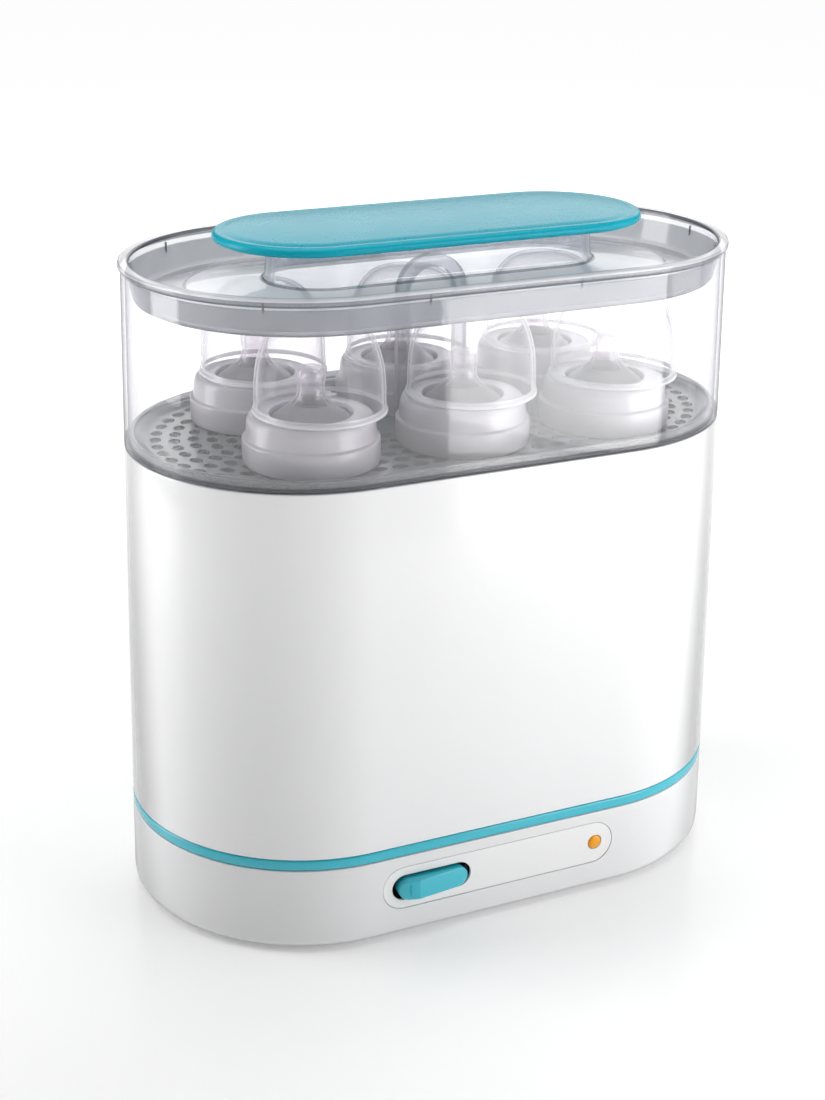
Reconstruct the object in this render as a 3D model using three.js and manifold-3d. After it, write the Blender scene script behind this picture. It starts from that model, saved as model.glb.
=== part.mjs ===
// Electric steam steriliser for feeding bottles: a base with a heating plate, a large
// basket, a small basket with six bottle tops, and a clear lid with a handle plate.
// Units are millimetres. +Z is up and -Y is the front, where the control panel is.
import * as THREE from 'three';
import Module from 'manifold-3d';

const wasm = await Module();
wasm.setup();

// ---- Driving dimensions -------------------------------------------------------------

const HALF_STRAIGHT = 65; // half the straight side of every full-size oval outline
const ARC_STEPS = 14; // segments in each rounded end
const WALL_LEAN = 0.0178; // inward lean of the outer walls, per mm of height
const SEAM_Z = 221.8; // height of the joint between the large basket and the lid
const SEAM_R = 80; // outline radius at that joint
const GAP = 0.3; // clearance between pieces that are fitted together

const FOOT_R = 7;
const FOOT_X = 92;
const FOOT_Y = 48;
const SCREW_R = 66; // distance of a base screw from the centre of the nearer rounded end
const SCREW_ANGLE = 50;

const BASE_BOTTOM_Z = 2;
const BASE_TOP_Z = 42.4;
const BASE_FILLET = 8;
const BASE_WALL = 2.8;
const DECK_OPENING_R = 70;

const RING_Z0 = 42.7;
const RING_Z1 = 47.8;
const RING_INNER_R = 76.4;

const BASIN_FLOOR_Z = 28;
const HEATER_HOLE_R = 46.3;
const PLATE_FLANGE_R = 50;
const PLATE_BOSS_R = 45.9;
const PLATE_UNDERSIDE_Z = 23;
const ELEMENT_R = 32;
const ELEMENT_TUBE_R = 3.6;

const PANEL_Z = 26.2; // height of the control panel's centre line
const PANEL_HALF_LENGTH = 60.5;
const PANEL_HALF_HEIGHT = 10.6;
const PANEL_FRONT_Y = -83.2;
const KEY_X = -35.8;
const KEY_HALF_LENGTH = 17.8;
const KEY_HALF_HEIGHT = 5;
const KEY_PIVOT_Y = -75;
const KEY_CREST_X = -44;
const KEY_CREST_Y = -88.2;
const SWITCH_HOLE_HALF_LENGTH = 20.2;
const SWITCH_HOLE_HALF_HEIGHT = 6.5;
const LENS_X = 51.2;
const LENS_R = 3.5;

const BASKET_Z0 = 48;
const BASKET_WALL = 2.3;
const BASKET_FLOOR_Z = 52;
const LEDGE_Z = 215.9;
const FOLD_PIVOT_Z = 57;
const FOLD_HALF_LENGTH = 49.6;
const FOLD_HEIGHT = 68;
const LUG_X = 51.6;

const TRAY_FLOOR_Z = 221.8;
const TRAY_R = 77.3;
const TRAY_RIM_Z = 226.5;
const TOP_PITCH_X = 74;
const TOP_PITCH_Y = 34;
const ARCH_HALF_WIDTH = 17.4;
const ARCH_BAR = 5.8;
const ARCH_DEPTH = 4.4;
const ARCH_TOP_Z = 300.6;

const CAP_RING_R = 30.5;
const CAP_RING_UPPER_R = 28.2;
const CAP_RING_Z0 = 222.1;
const CAP_RING_STEP_Z = 233.3;
const CAP_RING_TOP_Z = 244;
const CAP_HOLE_R = 17.8;
const TEAT_TOP_Z = 264.5;
const DOME_R = 29.8;
const DOME_Z0 = 244.3;
const DOME_TOP_Z = 287;
const DOME_SHIFT_X = 4.2; // the dome caps lie loose on the rings, a little to the right

const RIM_Z = 304.6;
const PEDESTAL_HALF_STRAIGHT = 56;
const PEDESTAL_TOP_Z = 311.9;
const HANDLE_HALF_STRAIGHT = 61.9;
const HANDLE_R = 41.4;
const HANDLE_Z0 = 312.2;
const PEG_X = 40;

// ---- Colours --------------------------------------------------------------------------

const COLOURS = {
  white: 0xf3f4f4,
  teal: 0x2f9db0,
  basin: 0xd9dcdd,
  steel: 0xb9bcc0,
  heater: 0x8f9296,
  rubber: 0x2b2d2f,
  board: 0x2f6b45,
  amber: 0xd98a2b,
  smoke: 0xa9adb3,
  milky: 0xe9eaee,
  silicone: 0xe6dfd6,
  clear: 0xdfe6ea,
  lead: 0xb7472a,
  dark: 0x3a3d40,
};

// ---- Solid helpers --------------------------------------------------------------------

/** Outline radius of the leaning outer wall at height z. */
function wallRadius(z) {
  return SEAM_R - WALL_LEAN * (z - SEAM_Z);
}

/** Turns any closed triangle geometry into a manifold solid, welding equal corners. */
function solid(geometry) {
  const position = geometry.getAttribute('position');
  const index = geometry.index;
  const count = index ? index.count : position.count;
  const seen = new Map();
  const vertices = [];
  const corners = [];
  for (let i = 0; i < count; i += 1) {
    const v = index ? index.getX(i) : i;
    const point = [position.getX(v), position.getY(v), position.getZ(v)];
    const key = point.map((value) => Math.round(value * 1e4)).join(',');
    if (!seen.has(key)) {
      seen.set(key, vertices.length / 3);
      vertices.push(...point);
    }
    corners.push(seen.get(key));
  }
  const triangles = [];
  for (let i = 0; i < corners.length; i += 3) {
    const [a, b, c] = corners.slice(i, i + 3);
    if (a !== b && b !== c && c !== a) {
      triangles.push(a, b, c);
    }
  }
  const mesh = new wasm.Mesh({
    numProp: 3,
    vertProperties: new Float32Array(vertices),
    triVerts: new Uint32Array(triangles),
  });
  return new wasm.Manifold(mesh);
}

/** Named mesh with its own material, made from a manifold solid. */
function node(name, colour, body, opacity = 1) {
  const result = body.getMesh();
  const geometry = new THREE.BufferGeometry();
  const positions = new THREE.BufferAttribute(new Float32Array(result.vertProperties), 3);
  geometry.setAttribute('position', positions);
  geometry.setIndex(new THREE.BufferAttribute(new Uint32Array(result.triVerts), 1));
  geometry.computeVertexNormals();
  const material = new THREE.MeshStandardMaterial({
    name,
    color: COLOURS[colour],
    roughness: 0.4,
    transparent: opacity < 1,
    opacity,
  });
  const mesh = new THREE.Mesh(geometry, material);
  mesh.name = name;
  return mesh;
}

/** Corners of an oval outline: two half circles of radius r centred at x = -a and x = +a. */
function ovalOutline(a, r, steps = ARC_STEPS) {
  const points = [];
  for (const side of [1, -1]) {
    for (let i = 0; i <= steps; i += 1) {
      const angle = -Math.PI / 2 + (Math.PI * i) / steps;
      points.push([side * (a + r * Math.cos(angle)), side * r * Math.sin(angle)]);
    }
  }
  return points;
}

/**
 * Body swept round an oval: each profile entry is [a, r, z], one ring of the skin.
 * A capped body closes its first and last rings with flat faces. Otherwise the last
 * ring joins the first, which makes a band.
 */
function ovalSweep(profile, capped) {
  const rings = profile.map(([a, r, z]) => ovalOutline(a, r).map(([x, y]) => [x, y, z]));
  const columns = rings[0].length;
  const positions = rings.flat(2);
  const triangles = [];
  const spans = capped ? rings.length - 1 : rings.length;
  for (let i = 0; i < spans; i += 1) {
    const low = i * columns;
    const high = ((i + 1) % rings.length) * columns;
    for (let j = 0; j < columns; j += 1) {
      const k = (j + 1) % columns;
      triangles.push(low + j, low + k, high + k);
      triangles.push(low + j, high + k, high + j);
    }
  }
  if (capped) {
    const last = (rings.length - 1) * columns;
    const half = columns / 2;
    for (let j = 0; j < half - 1; j += 1) {
      const across = columns - 1 - j;
      triangles.push(j, across, j + 1);
      triangles.push(j + 1, across, across - 1);
      triangles.push(last + j, last + j + 1, last + across);
      triangles.push(last + j + 1, last + across - 1, last + across);
    }
  }
  const geometry = new THREE.BufferGeometry();
  geometry.setAttribute('position', new THREE.Float32BufferAttribute(positions, 3));
  geometry.setIndex(outward(positions, triangles));
  return solid(geometry);
}

/** Returns the triangles, reversed if they enclose a negative volume. */
function outward(positions, triangles) {
  const at = (v) => new THREE.Vector3().fromArray(positions, 3 * v);
  let volume = 0;
  for (let i = 0; i < triangles.length; i += 3) {
    const [a, b, c] = triangles.slice(i, i + 3).map(at);
    volume += a.dot(b.cross(c));
  }
  return volume < 0 ? triangles.slice().reverse() : triangles;
}

/** Ring profile entries that share the full-size straight side. */
function full(points) {
  return points.map(([r, z]) => [HALF_STRAIGHT, r, z]);
}

/** Extrusion of a polygon of [u, v] corners along +Z. */
function extruded(corners, depth) {
  const shape = new THREE.Shape(corners.map(([u, v]) => new THREE.Vector2(u, v)));
  return new THREE.ExtrudeGeometry(shape, { depth, bevelEnabled: false });
}

/** Upright prism over a polygon of [x, y] corners. */
function prism(corners, z0, z1) {
  const geometry = extruded(corners, z1 - z0);
  geometry.translate(0, 0, z0);
  return solid(geometry);
}

/** Prism over a polygon of [x, z] corners, from y0 at the front to y1 behind it. */
function prismAlongY(corners, y0, y1) {
  const geometry = extruded(corners, y1 - y0);
  geometry.rotateX(Math.PI / 2);
  geometry.translate(0, y1, 0);
  return solid(geometry);
}

/** Slot corners about (u, v), length along u, turned by an angle in degrees. */
function slot(u, v, length, width, turn = 0, steps = 4) {
  const angle = (turn * Math.PI) / 180;
  const cos = Math.cos(angle);
  const sin = Math.sin(angle);
  const outline = ovalOutline((length - width) / 2, width / 2, steps);
  return outline.map(([x, y]) => [u + x * cos - y * sin, v + x * sin + y * cos]);
}

/** Box from its lowest and highest corners. */
function box([x0, y0, z0], [x1, y1, z1]) {
  const geometry = new THREE.BoxGeometry(x1 - x0, y1 - y0, z1 - z0);
  geometry.translate((x0 + x1) / 2, (y0 + y1) / 2, (z0 + z1) / 2);
  return solid(geometry);
}

/** Upright round bar. */
function bar(x, y, r, z0, z1, steps = 16) {
  const geometry = new THREE.CylinderGeometry(r, r, z1 - z0, steps);
  geometry.rotateX(Math.PI / 2);
  geometry.translate(x, y, (z0 + z1) / 2);
  return solid(geometry);
}

/** Round bar along Y. */
function barAlongY(x, z, r, y0, y1, steps = 16) {
  const geometry = new THREE.CylinderGeometry(r, r, y1 - y0, steps);
  geometry.translate(x, (y0 + y1) / 2, z);
  return solid(geometry);
}

/** Round bar along X. */
function barAlongX(y, z, r, x0, x1, steps = 12) {
  const geometry = new THREE.CylinderGeometry(r, r, x1 - x0, steps);
  geometry.rotateZ(Math.PI / 2);
  geometry.translate((x0 + x1) / 2, y, z);
  return solid(geometry);
}

/** Turned body about the upright line through (x, y); the profile is [r, z] pairs. */
function turned(profile, x, y, steps) {
  const points = profile.map(([r, z]) => new THREE.Vector2(r, z));
  const geometry = new THREE.LatheGeometry(points, steps);
  geometry.rotateX(Math.PI / 2);
  geometry.translate(x, y, 0);
  const position = geometry.getAttribute('position').array;
  const triangles = outward(Array.from(position), Array.from(geometry.index.array));
  geometry.setIndex(triangles);
  return solid(geometry);
}

/** Round wire or tube along a smooth path through the given points. */
function wire(points, r, steps, sides) {
  const path = new THREE.CatmullRomCurve3(points.map((p) => new THREE.Vector3(...p)));
  const shape = new THREE.Shape();
  for (let i = 0; i < sides; i += 1) {
    const angle = (2 * Math.PI * i) / sides;
    const corner = [r * Math.cos(angle), r * Math.sin(angle)];
    if (i === 0) {
      shape.moveTo(...corner);
    } else {
      shape.lineTo(...corner);
    }
  }
  const options = { steps, bevelEnabled: false, extrudePath: path };
  return solid(new THREE.ExtrudeGeometry(shape, options));
}

/** Adds up a list of solids. */
function joined(bodies) {
  return bodies.reduce((sum, body) => sum.add(body));
}

// ---- Base -----------------------------------------------------------------------------

/** Corners of a quarter round between a vertical side at r and a flat face at z. */
function bottomRound(r, z, radius, steps) {
  const points = [];
  for (let i = 0; i <= steps; i += 1) {
    const angle = (Math.PI / 2) * (i / steps);
    points.push([r - radius + radius * Math.sin(angle), z + radius - radius * Math.cos(angle)]);
  }
  return points;
}

/** Point at a given radius on the slanting line of a base screw, in each corner. */
function cornerPlaces(radius) {
  const angle = (SCREW_ANGLE * Math.PI) / 180;
  const x = HALF_STRAIGHT + radius * Math.cos(angle);
  const y = radius * Math.sin(angle);
  return [[-x, -y], [x, -y], [x, y], [-x, y]];
}

/** Places where the base plate is screwed to the housing. */
function screwPlaces() {
  return cornerPlaces(SCREW_R);
}

/** Outer shell of the base, with the deck that carries the basin and four screw bosses. */
function baseHousing() {
  const outer = bottomRound(wallRadius(10), BASE_BOTTOM_Z, BASE_FILLET, 3);
  const inner = wallRadius(10) - BASE_WALL;
  const skin = ovalSweep(full([
    [73, BASE_BOTTOM_Z],
    ...outer,
    [wallRadius(BASE_TOP_Z), BASE_TOP_Z],
    [DECK_OPENING_R, BASE_TOP_Z],
    [DECK_OPENING_R, 39.6],
    [inner - 0.4, 39.6],
    [inner, 11],
    [inner - 2.6, 6.4],
    [inner - 6.4, 4.6],
    [73, 4.6],
  ]), false);
  const bosses = screwPlaces().map(([x, y]) => bar(x, y, 4, 4.8, 24, 12));
  const webs = cornerPlaces((SCREW_R + inner + 1) / 2).map(([x, y]) => {
    const turn = Math.sign(x * y) * SCREW_ANGLE;
    return prism(slot(x, y, inner + 1 - SCREW_R, 3, turn, 2), 6.8, 24);
  });
  const pilots = screwPlaces().map(([x, y]) => bar(x, y, 1.7, 4, 16, 10));
  const panelSeat = slot(0, PANEL_Z, 2 * PANEL_HALF_LENGTH + 2 * GAP,
    2 * PANEL_HALF_HEIGHT + 2 * GAP, 0, 8);
  const switchHole = slot(KEY_X, PANEL_Z, 2 * SWITCH_HOLE_HALF_LENGTH + 1.4,
    2 * SWITCH_HOLE_HALF_HEIGHT + 1.4, 0, 6);
  return joined([skin, ...bosses, ...webs])
    .subtract(joined(pilots))
    .subtract(prismAlongY(panelSeat, -90, PANEL_FRONT_Y + 1.5))
    .subtract(prismAlongY(switchHole, -90, -70))
    .subtract(barAlongY(LENS_X, PANEL_Z, LENS_R + 0.8, -90, -70, 14))
    .subtract(barAlongY(40, 14, 5.6, 70, 90, 14));
}

/** Flat cover that closes the base from below, with seats for the feet and the screws. */
function basePlate() {
  const sheet = ovalSweep(full([[72.6, BASE_BOTTOM_Z], [72.6, 4.5]]), true);
  const seats = footPlaces().map(([x, y]) => bar(x, y, FOOT_R + GAP, 1, 3, 12));
  const holes = screwPlaces().map(([x, y]) => bar(x, y, 1.8, 1, 6, 10));
  return sheet.subtract(joined([...seats, ...holes]));
}

/** Centres of the four feet. */
function footPlaces() {
  return [[-FOOT_X, -FOOT_Y], [FOOT_X, -FOOT_Y], [FOOT_X, FOOT_Y], [-FOOT_X, FOOT_Y]];
}

/** Rubber foot: a low disc in a seat of the base plate. */
function foot([x, y]) {
  return bar(x, y, FOOT_R, 0, 2.7, 12);
}

/** Screw that enters a housing boss from below. */
function baseScrew([x, y]) {
  return bar(x, y, 3, 0.6, 1.8, 10).add(bar(x, y, 1.4, 1.7, 14, 10));
}

/** Coloured ring between the base and the large basket. */
function accentRing() {
  const outer = wallRadius(RING_Z0) - 0.1;
  return ovalSweep(full([
    [RING_INNER_R, RING_Z0],
    [outer - 0.5, RING_Z0],
    [outer, RING_Z0 + 0.6],
    [outer, RING_Z1 - 0.6],
    [outer - 0.5, RING_Z1],
    [RING_INNER_R, RING_Z1],
  ]), false);
}

/** Shallow water basin that hangs in the deck opening, with a hole for the heating plate. */
function waterBasin() {
  const under = BASIN_FLOOR_Z - 2;
  const tub = ovalSweep(full([
    [67.6, BASIN_FLOOR_Z + 3.2],
    [67.8, RING_Z0 + 1.5],
    [76, RING_Z0 + 1.5],
    [76, RING_Z0],
    [69.7, RING_Z0],
    [69.6, BASIN_FLOOR_Z + 2],
    [65.4, under],
    [60, under],
    [60, BASIN_FLOOR_Z],
    [65, BASIN_FLOOR_Z],
  ]), false);
  const floor = ovalSweep(full([[61, under], [61, BASIN_FLOOR_Z]]), true);
  return tub.add(floor).subtract(bar(0, 0, HEATER_HOLE_R, 20, 40, 24));
}

/** Flat sealing ring between the basin floor and the heating plate. */
function heaterSeal() {
  const z0 = BASIN_FLOOR_Z + GAP;
  return turned([[46.8, z0], [49.6, z0], [49.6, z0 + 1], [46.8, z0 + 1], [46.8, z0]], 0, 0, 24);
}

/** Round metal heating plate with a shallow dish on top. */
function heatingPlate() {
  const flange = BASIN_FLOOR_Z + 1.6;
  return turned([
    [0, PLATE_UNDERSIDE_Z],
    [PLATE_BOSS_R, PLATE_UNDERSIDE_Z],
    [PLATE_BOSS_R, flange],
    [PLATE_FLANGE_R, flange],
    [PLATE_FLANGE_R, flange + 1.2],
    [PLATE_FLANGE_R - 1.5, flange + 1.9],
    [43, flange + 1.9],
    [39, flange + 0.7],
    [0, flange + 0.7],
  ], 0, 0, 24);
}

/** Tubular heating element: an open ring under the heating plate. */
function heatingElement() {
  const z = PLATE_UNDERSIDE_Z - GAP - ELEMENT_TUBE_R;
  const points = [];
  for (let i = 0; i <= 14; i += 1) {
    const angle = ((120 + (300 * i) / 14) * Math.PI) / 180;
    points.push([ELEMENT_R * Math.cos(angle), ELEMENT_R * Math.sin(angle), z]);
  }
  return wire(points, ELEMENT_TUBE_R, 24, 8);
}

/** Round thermostat under the middle of the heating plate, with its rim. */
function thermostat() {
  const top = PLATE_UNDERSIDE_Z - GAP;
  return bar(0, 0, 8, 14.6, top - 1, 16).add(bar(0, 0, 10.5, top - 2, top, 16));
}

/** Thermal fuse: a small capsule beside the thermostat. */
function thermalFuse() {
  return barAlongX(-19, PLATE_UNDERSIDE_Z - GAP - 2.2, 2.2, -7, 7, 10);
}

/** Circuit board that stands behind the right half of the control panel. */
function controlBoard() {
  return box([6, -77.4, 13], [60, -75.8, 38]);
}

/** Light-emitting diode on the circuit board, behind the lens. */
function indicatorLed() {
  return barAlongY(LENS_X, PANEL_Z, 1.5, -80.2, -77.7, 10);
}

/** Amber lens in the control panel. */
function indicatorLens() {
  const front = PANEL_FRONT_Y;
  return barAlongY(LENS_X, PANEL_Z, LENS_R, front - 0.3, front + 2.6, 16)
    .add(barAlongY(LENS_X, PANEL_Z, LENS_R - 1, front - 0.9, front, 16));
}

/** Control panel: an inset oval strip with openings for the key and the lens. */
function controlPanel() {
  const strip = slot(0, PANEL_Z, 2 * PANEL_HALF_LENGTH, 2 * PANEL_HALF_HEIGHT, 0, 8);
  const hole = slot(KEY_X, PANEL_Z, 2 * SWITCH_HOLE_HALF_LENGTH, 2 * SWITCH_HOLE_HALF_HEIGHT, 0, 6);
  return prismAlongY(strip, PANEL_FRONT_Y, PANEL_FRONT_Y + 1.2)
    .subtract(prismAlongY(hole, -90, -70))
    .subtract(barAlongY(LENS_X, PANEL_Z, LENS_R + GAP, -90, -70, 16));
}

/** Switch body behind the panel, open to the front round the key's tail. */
function switchModule() {
  const shell = box([KEY_X - 20.6, -79.6, 15], [KEY_X + 20.6, -70.4, 37.4]);
  const cavity = box([KEY_X - 18.9, -80, 18.4], [KEY_X + 18.9, -72, 34]);
  return shell.subtract(cavity).subtract(bar(KEY_X, KEY_PIVOT_Y, 1.3, 14, 38, 12));
}

/** Steel pin on which the key rocks. */
function rockerPin() {
  return bar(KEY_X, KEY_PIVOT_Y, 1.2, 15.4, 37, 12);
}

/** Two-faced rocker key with a tail that carries its pivot bore. */
function powerRocker() {
  const left = KEY_X - KEY_HALF_LENGTH;
  const right = KEY_X + KEY_HALF_LENGTH;
  const plan = prism([
    [left, -80.6],
    [right, -80.6],
    [right, -85],
    [KEY_CREST_X, KEY_CREST_Y],
    [left, -85.6],
  ], PANEL_Z - KEY_HALF_HEIGHT, PANEL_Z + KEY_HALF_HEIGHT);
  const face = slot(KEY_X, PANEL_Z, 2 * KEY_HALF_LENGTH, 2 * KEY_HALF_HEIGHT, 0, 6);
  const tail = box([KEY_X - 5, -81, PANEL_Z - 4.5], [KEY_X + 5, -72.8, PANEL_Z + 4.5]);
  return plan.intersect(prismAlongY(face, -90, -80.6)).add(tail)
    .subtract(bar(KEY_X, KEY_PIVOT_Y, 1.3, 10, 40, 12));
}

/** Bush in the back wall where the mains cord enters. */
function cordGland(backY) {
  return barAlongY(40, 14, 5.2, 78, backY, 14).add(barAlongY(40, 14, 7.4, backY - 2.2, backY, 14))
    .subtract(barAlongY(40, 14, 3, 70, 95, 10));
}

/** Terminal block at the back of the base. */
function terminalBlock() {
  return box([24, 58, 4.8], [56, 70, 16]);
}

/** Insulated lead from one end of the heating element to the terminal block. */
function elementLead(side) {
  const z = PLATE_UNDERSIDE_Z - GAP - ELEMENT_TUBE_R;
  const start = [side * 12.6, 30.2, z];
  const end = side > 0 ? [44, 56.6, 11] : [30, 56.6, 11];
  const middle = side > 0 ? [26, 44, 13] : [2, 46, 12];
  return wire([start, middle, end], 1.3, 8, 6);
}

/** Insulated lead from the switch to the terminal block. */
function switchLead() {
  return wire([[KEY_X, -69.6, 18], [-30, -54, 9], [-10, 0, 8.5], [26, 44, 8], [36, 56.6, 8]],
    1.3, 12, 6);
}

// ---- Large basket ---------------------------------------------------------------------

/** Large basket: a tall oval wall on a slotted floor, with a ledge near its top. */
function largeBasket() {
  const t = BASKET_WALL;
  const top = SEAM_Z - 0.3;
  const body = ovalSweep(full([
    [78.4, BASKET_FLOOR_Z],
    [wallRadius(55) - t, BASKET_FLOOR_Z + 3],
    [wallRadius(211) - t, 211],
    [75.6, 213.6],
    [75.6, LEDGE_Z],
    [wallRadius(LEDGE_Z) - t, LEDGE_Z],
    [wallRadius(top) - t, top],
    [wallRadius(top), top],
    [wallRadius(BASKET_Z0), BASKET_Z0],
    [75.9, BASKET_Z0],
    [75.9, 44.8],
    [73.9, 44.8],
    [73.9, 49.6],
  ]), true);
  const slots = [];
  for (const y of [-36, 36]) {
    for (let x = -87.5; x <= 88; x += 35) {
      slots.push(prism(slot(x, y, 46, 9, 90, 3), 40, 60));
    }
  }
  const lugs = [-LUG_X, LUG_X].map((x) => box([x - 1.6, -4.5, 51], [x + 1.6, 4.5, 61]));
  const bore = barAlongX(0, FOLD_PIVOT_Z, 1.9, -60, 60, 12);
  return joined([body, ...lugs]).subtract(joined([...slots, bore]));
}

/** Folding divider plate with slots and a pivot pin at each end of its lower edge. */
function foldPlate() {
  const half = FOLD_HALF_LENGTH;
  const z0 = FOLD_PIVOT_Z - 1.4;
  const z1 = FOLD_PIVOT_Z + FOLD_HEIGHT;
  const sheet = box([-half, -1.2, z0], [half, 1.2, z1]);
  const bead = box([-half + 4, -2, z1 - 4], [half - 4, 2, z1]);
  const pins = barAlongX(0, FOLD_PIVOT_Z, 1.6, -half - 4.2, half + 4.2, 12);
  const slots = [];
  for (let x = -40; x <= 40; x += 16) {
    slots.push(prismAlongY(slot(x, FOLD_PIVOT_Z + 32, 40, 7, 90), -5, 5));
  }
  return joined([sheet, bead, pins]).subtract(joined(slots));
}

// ---- Small basket and its load --------------------------------------------------------

/** Centres of the six bottle tops: front row from left to right, then the back row. */
function topPlaces() {
  return [-TOP_PITCH_Y, TOP_PITCH_Y].flatMap((y) => [-1, 0, 1].map((i) => [i * TOP_PITCH_X, y]));
}

/** Small basket: a low tray with oval drain holes under each bottle top. */
function smallBasketTray() {
  const body = ovalSweep(full([
    [74.6, TRAY_FLOOR_Z],
    [75.5, TRAY_FLOOR_Z + 0.9],
    [75.6, TRAY_RIM_Z],
    [77.1, TRAY_RIM_Z],
    [TRAY_R, LEDGE_Z + GAP],
    [75.7, LEDGE_Z + GAP],
    [75.7, TRAY_FLOOR_Z - 2],
  ]), true);
  const holes = [];
  for (const [x, y] of topPlaces()) {
    for (let i = 0; i < 4; i += 1) {
      const turn = 45 + 90 * i;
      const angle = (turn * Math.PI) / 180;
      const centre = [x + 15 * Math.cos(angle), y + 15 * Math.sin(angle)];
      holes.push(prism(slot(...centre, 13, 5, turn, 2), 210, 230));
    }
  }
  const legX = ARCH_HALF_WIDTH - ARCH_BAR / 2;
  const sockets = [-legX, legX].map((x) => {
    const halfX = ARCH_BAR / 2 + GAP;
    const halfY = ARCH_DEPTH / 2 + GAP;
    return box([x - halfX, -halfY, 210], [x + halfX, halfY, 230]);
  });
  return body.subtract(joined([...holes, ...sockets]));
}

/** Arched carrying handle whose legs are snapped through the tray floor. */
function basketHandle() {
  const r = ARCH_HALF_WIDTH;
  const inner = r - ARCH_BAR;
  const centreZ = ARCH_TOP_Z - r;
  const footZ = TRAY_FLOOR_Z - 2.6;
  const arc = (radius, from, to) => {
    const points = [];
    for (let i = 0; i <= 12; i += 1) {
      const angle = from + ((to - from) * i) / 12;
      points.push([radius * Math.cos(angle), centreZ + radius * Math.sin(angle)]);
    }
    return points;
  };
  const outline = [
    [r, footZ],
    ...arc(r, 0, Math.PI),
    [-r, footZ],
    [-inner, footZ],
    ...arc(inner, Math.PI, 0),
    [inner, footZ],
  ];
  const arch = prismAlongY(outline, -ARCH_DEPTH / 2, ARCH_DEPTH / 2);
  const hooks = [-1, 1].map((side) => box(
    [side * r - 1, -ARCH_DEPTH / 2, footZ - 1.6],
    [side * r + 1, ARCH_DEPTH / 2, footZ + 0.2],
  ));
  return joined([arch, ...hooks]);
}

/** Screw ring of a bottle: two tiers and a top with a round hole. */
function bottleRing([x, y]) {
  return turned([
    [CAP_RING_R - 1.9, CAP_RING_Z0],
    [CAP_RING_R, CAP_RING_Z0],
    [CAP_RING_R, CAP_RING_STEP_Z],
    [CAP_RING_UPPER_R, CAP_RING_STEP_Z + 0.6],
    [CAP_RING_UPPER_R, CAP_RING_TOP_Z],
    [CAP_HOLE_R, CAP_RING_TOP_Z],
    [CAP_HOLE_R, CAP_RING_TOP_Z - 2],
    [CAP_RING_UPPER_R - 1.9, CAP_RING_TOP_Z - 2],
    [CAP_RING_UPPER_R - 1.9, CAP_RING_STEP_Z],
    [CAP_RING_R - 1.9, CAP_RING_Z0],
  ], x, y, 16);
}

/** Silicone teat: a hollow stepped cone whose flange lies under the ring's top. */
function teat([x, y]) {
  const z = CAP_RING_TOP_Z;
  return turned([
    [0, TEAT_TOP_Z],
    [4.6, TEAT_TOP_Z - 0.8],
    [6.4, TEAT_TOP_Z - 4],
    [6, TEAT_TOP_Z - 9],
    [12.4, z + 2.4],
    [17.2, z - 2.6],
    [24, z - 2.6],
    [24, z - 4.4],
    [15.8, z - 4.4],
    [10.8, z + 1.4],
    [4.4, TEAT_TOP_Z - 8],
    [0, TEAT_TOP_Z - 2.4],
  ], x, y, 12);
}

/** Clear dome cap that stands over a teat on the ring's top face. */
function domeCap([x, y]) {
  const t = 1.4;
  const curve = [
    [DOME_R, DOME_Z0],
    [DOME_R - 0.6, 263],
    [DOME_R - 3.8, 273],
    [DOME_R - 11, 282.4],
    [9, 286.4],
    [0, DOME_TOP_Z],
  ];
  const inside = [
    [0, DOME_TOP_Z - t],
    [DOME_R - 12, 281.2],
    [DOME_R - 5.2, 272.2],
    [DOME_R - 2, 262.6],
    [DOME_R - t, DOME_Z0],
  ];
  return turned([...curve, ...inside, [DOME_R, DOME_Z0]], x + DOME_SHIFT_X, y, 14);
}

// ---- Lid ------------------------------------------------------------------------------

/** Clear lid: outer wall, folded rim, recessed well and the hollow handle pedestal. */
function lidShell() {
  const p = PEDESTAL_HALF_STRAIGHT;
  const t = 2;
  const top = PEDESTAL_TOP_Z;
  const bottom = SEAM_Z + 0.5;
  const body = ovalSweep([
    [p, 20.6, top - t],
    [p, 22.1, 295.4],
    [p, 24, 293.4],
    ...full([
      [50, 290.6],
      [51.4, 289.7],
      [69.4, 287],
      [72.6, 287.6],
      [74.2, 290.4],
      [75.9, 298.8],
      [76.5, 298.8],
      [wallRadius(bottom) - t, bottom],
      [wallRadius(bottom), bottom],
      [wallRadius(301.6), 301.6],
      [79.8, 302.6],
      [79.6, 303.9],
      [78.4, RIM_Z],
      [76.2, RIM_Z],
      [75, 303.8],
      [74.4, 302],
      [72.3, 291.4],
      [71.4, 289.6],
      [69.6, 289],
      [51.6, 291.8],
      [50, 292.6],
    ]),
    [p, 27, 294.8],
    [p, 24.8, 295.6],
    [p, 24, 297.4],
    [p, 22.6, top],
  ], true);
  const pegHoles = [-PEG_X, PEG_X].map((x) => bar(x, 0, 3.1, 300, 320, 12));
  return body.subtract(joined(pegHoles));
}

/** Handle plate: a broad oval with a crowned top, on two pegs that enter the pedestal. */
function lidHandle() {
  const a = HANDLE_HALF_STRAIGHT;
  const z = HANDLE_Z0;
  const plate = ovalSweep([
    [a, HANDLE_R - 2.4, z],
    [a, HANDLE_R - 0.4, z + 0.3],
    [a, HANDLE_R, z + 1.1],
    [a, HANDLE_R, z + 3],
    [a, HANDLE_R - 0.8, z + 4],
    [a, HANDLE_R - 2.4, z + 4.5],
    [a, HANDLE_R - 12, z + 5.6],
    [a, HANDLE_R - 26, z + 6.4],
    [a, 3, z + 6.7],
  ], true);
  const pegs = [-PEG_X, PEG_X].map((x) => bar(x, 0, 2.8, z - 5, z + 1, 12));
  return joined([plate, ...pegs]);
}

// ---- Assembly -------------------------------------------------------------------------

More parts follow.
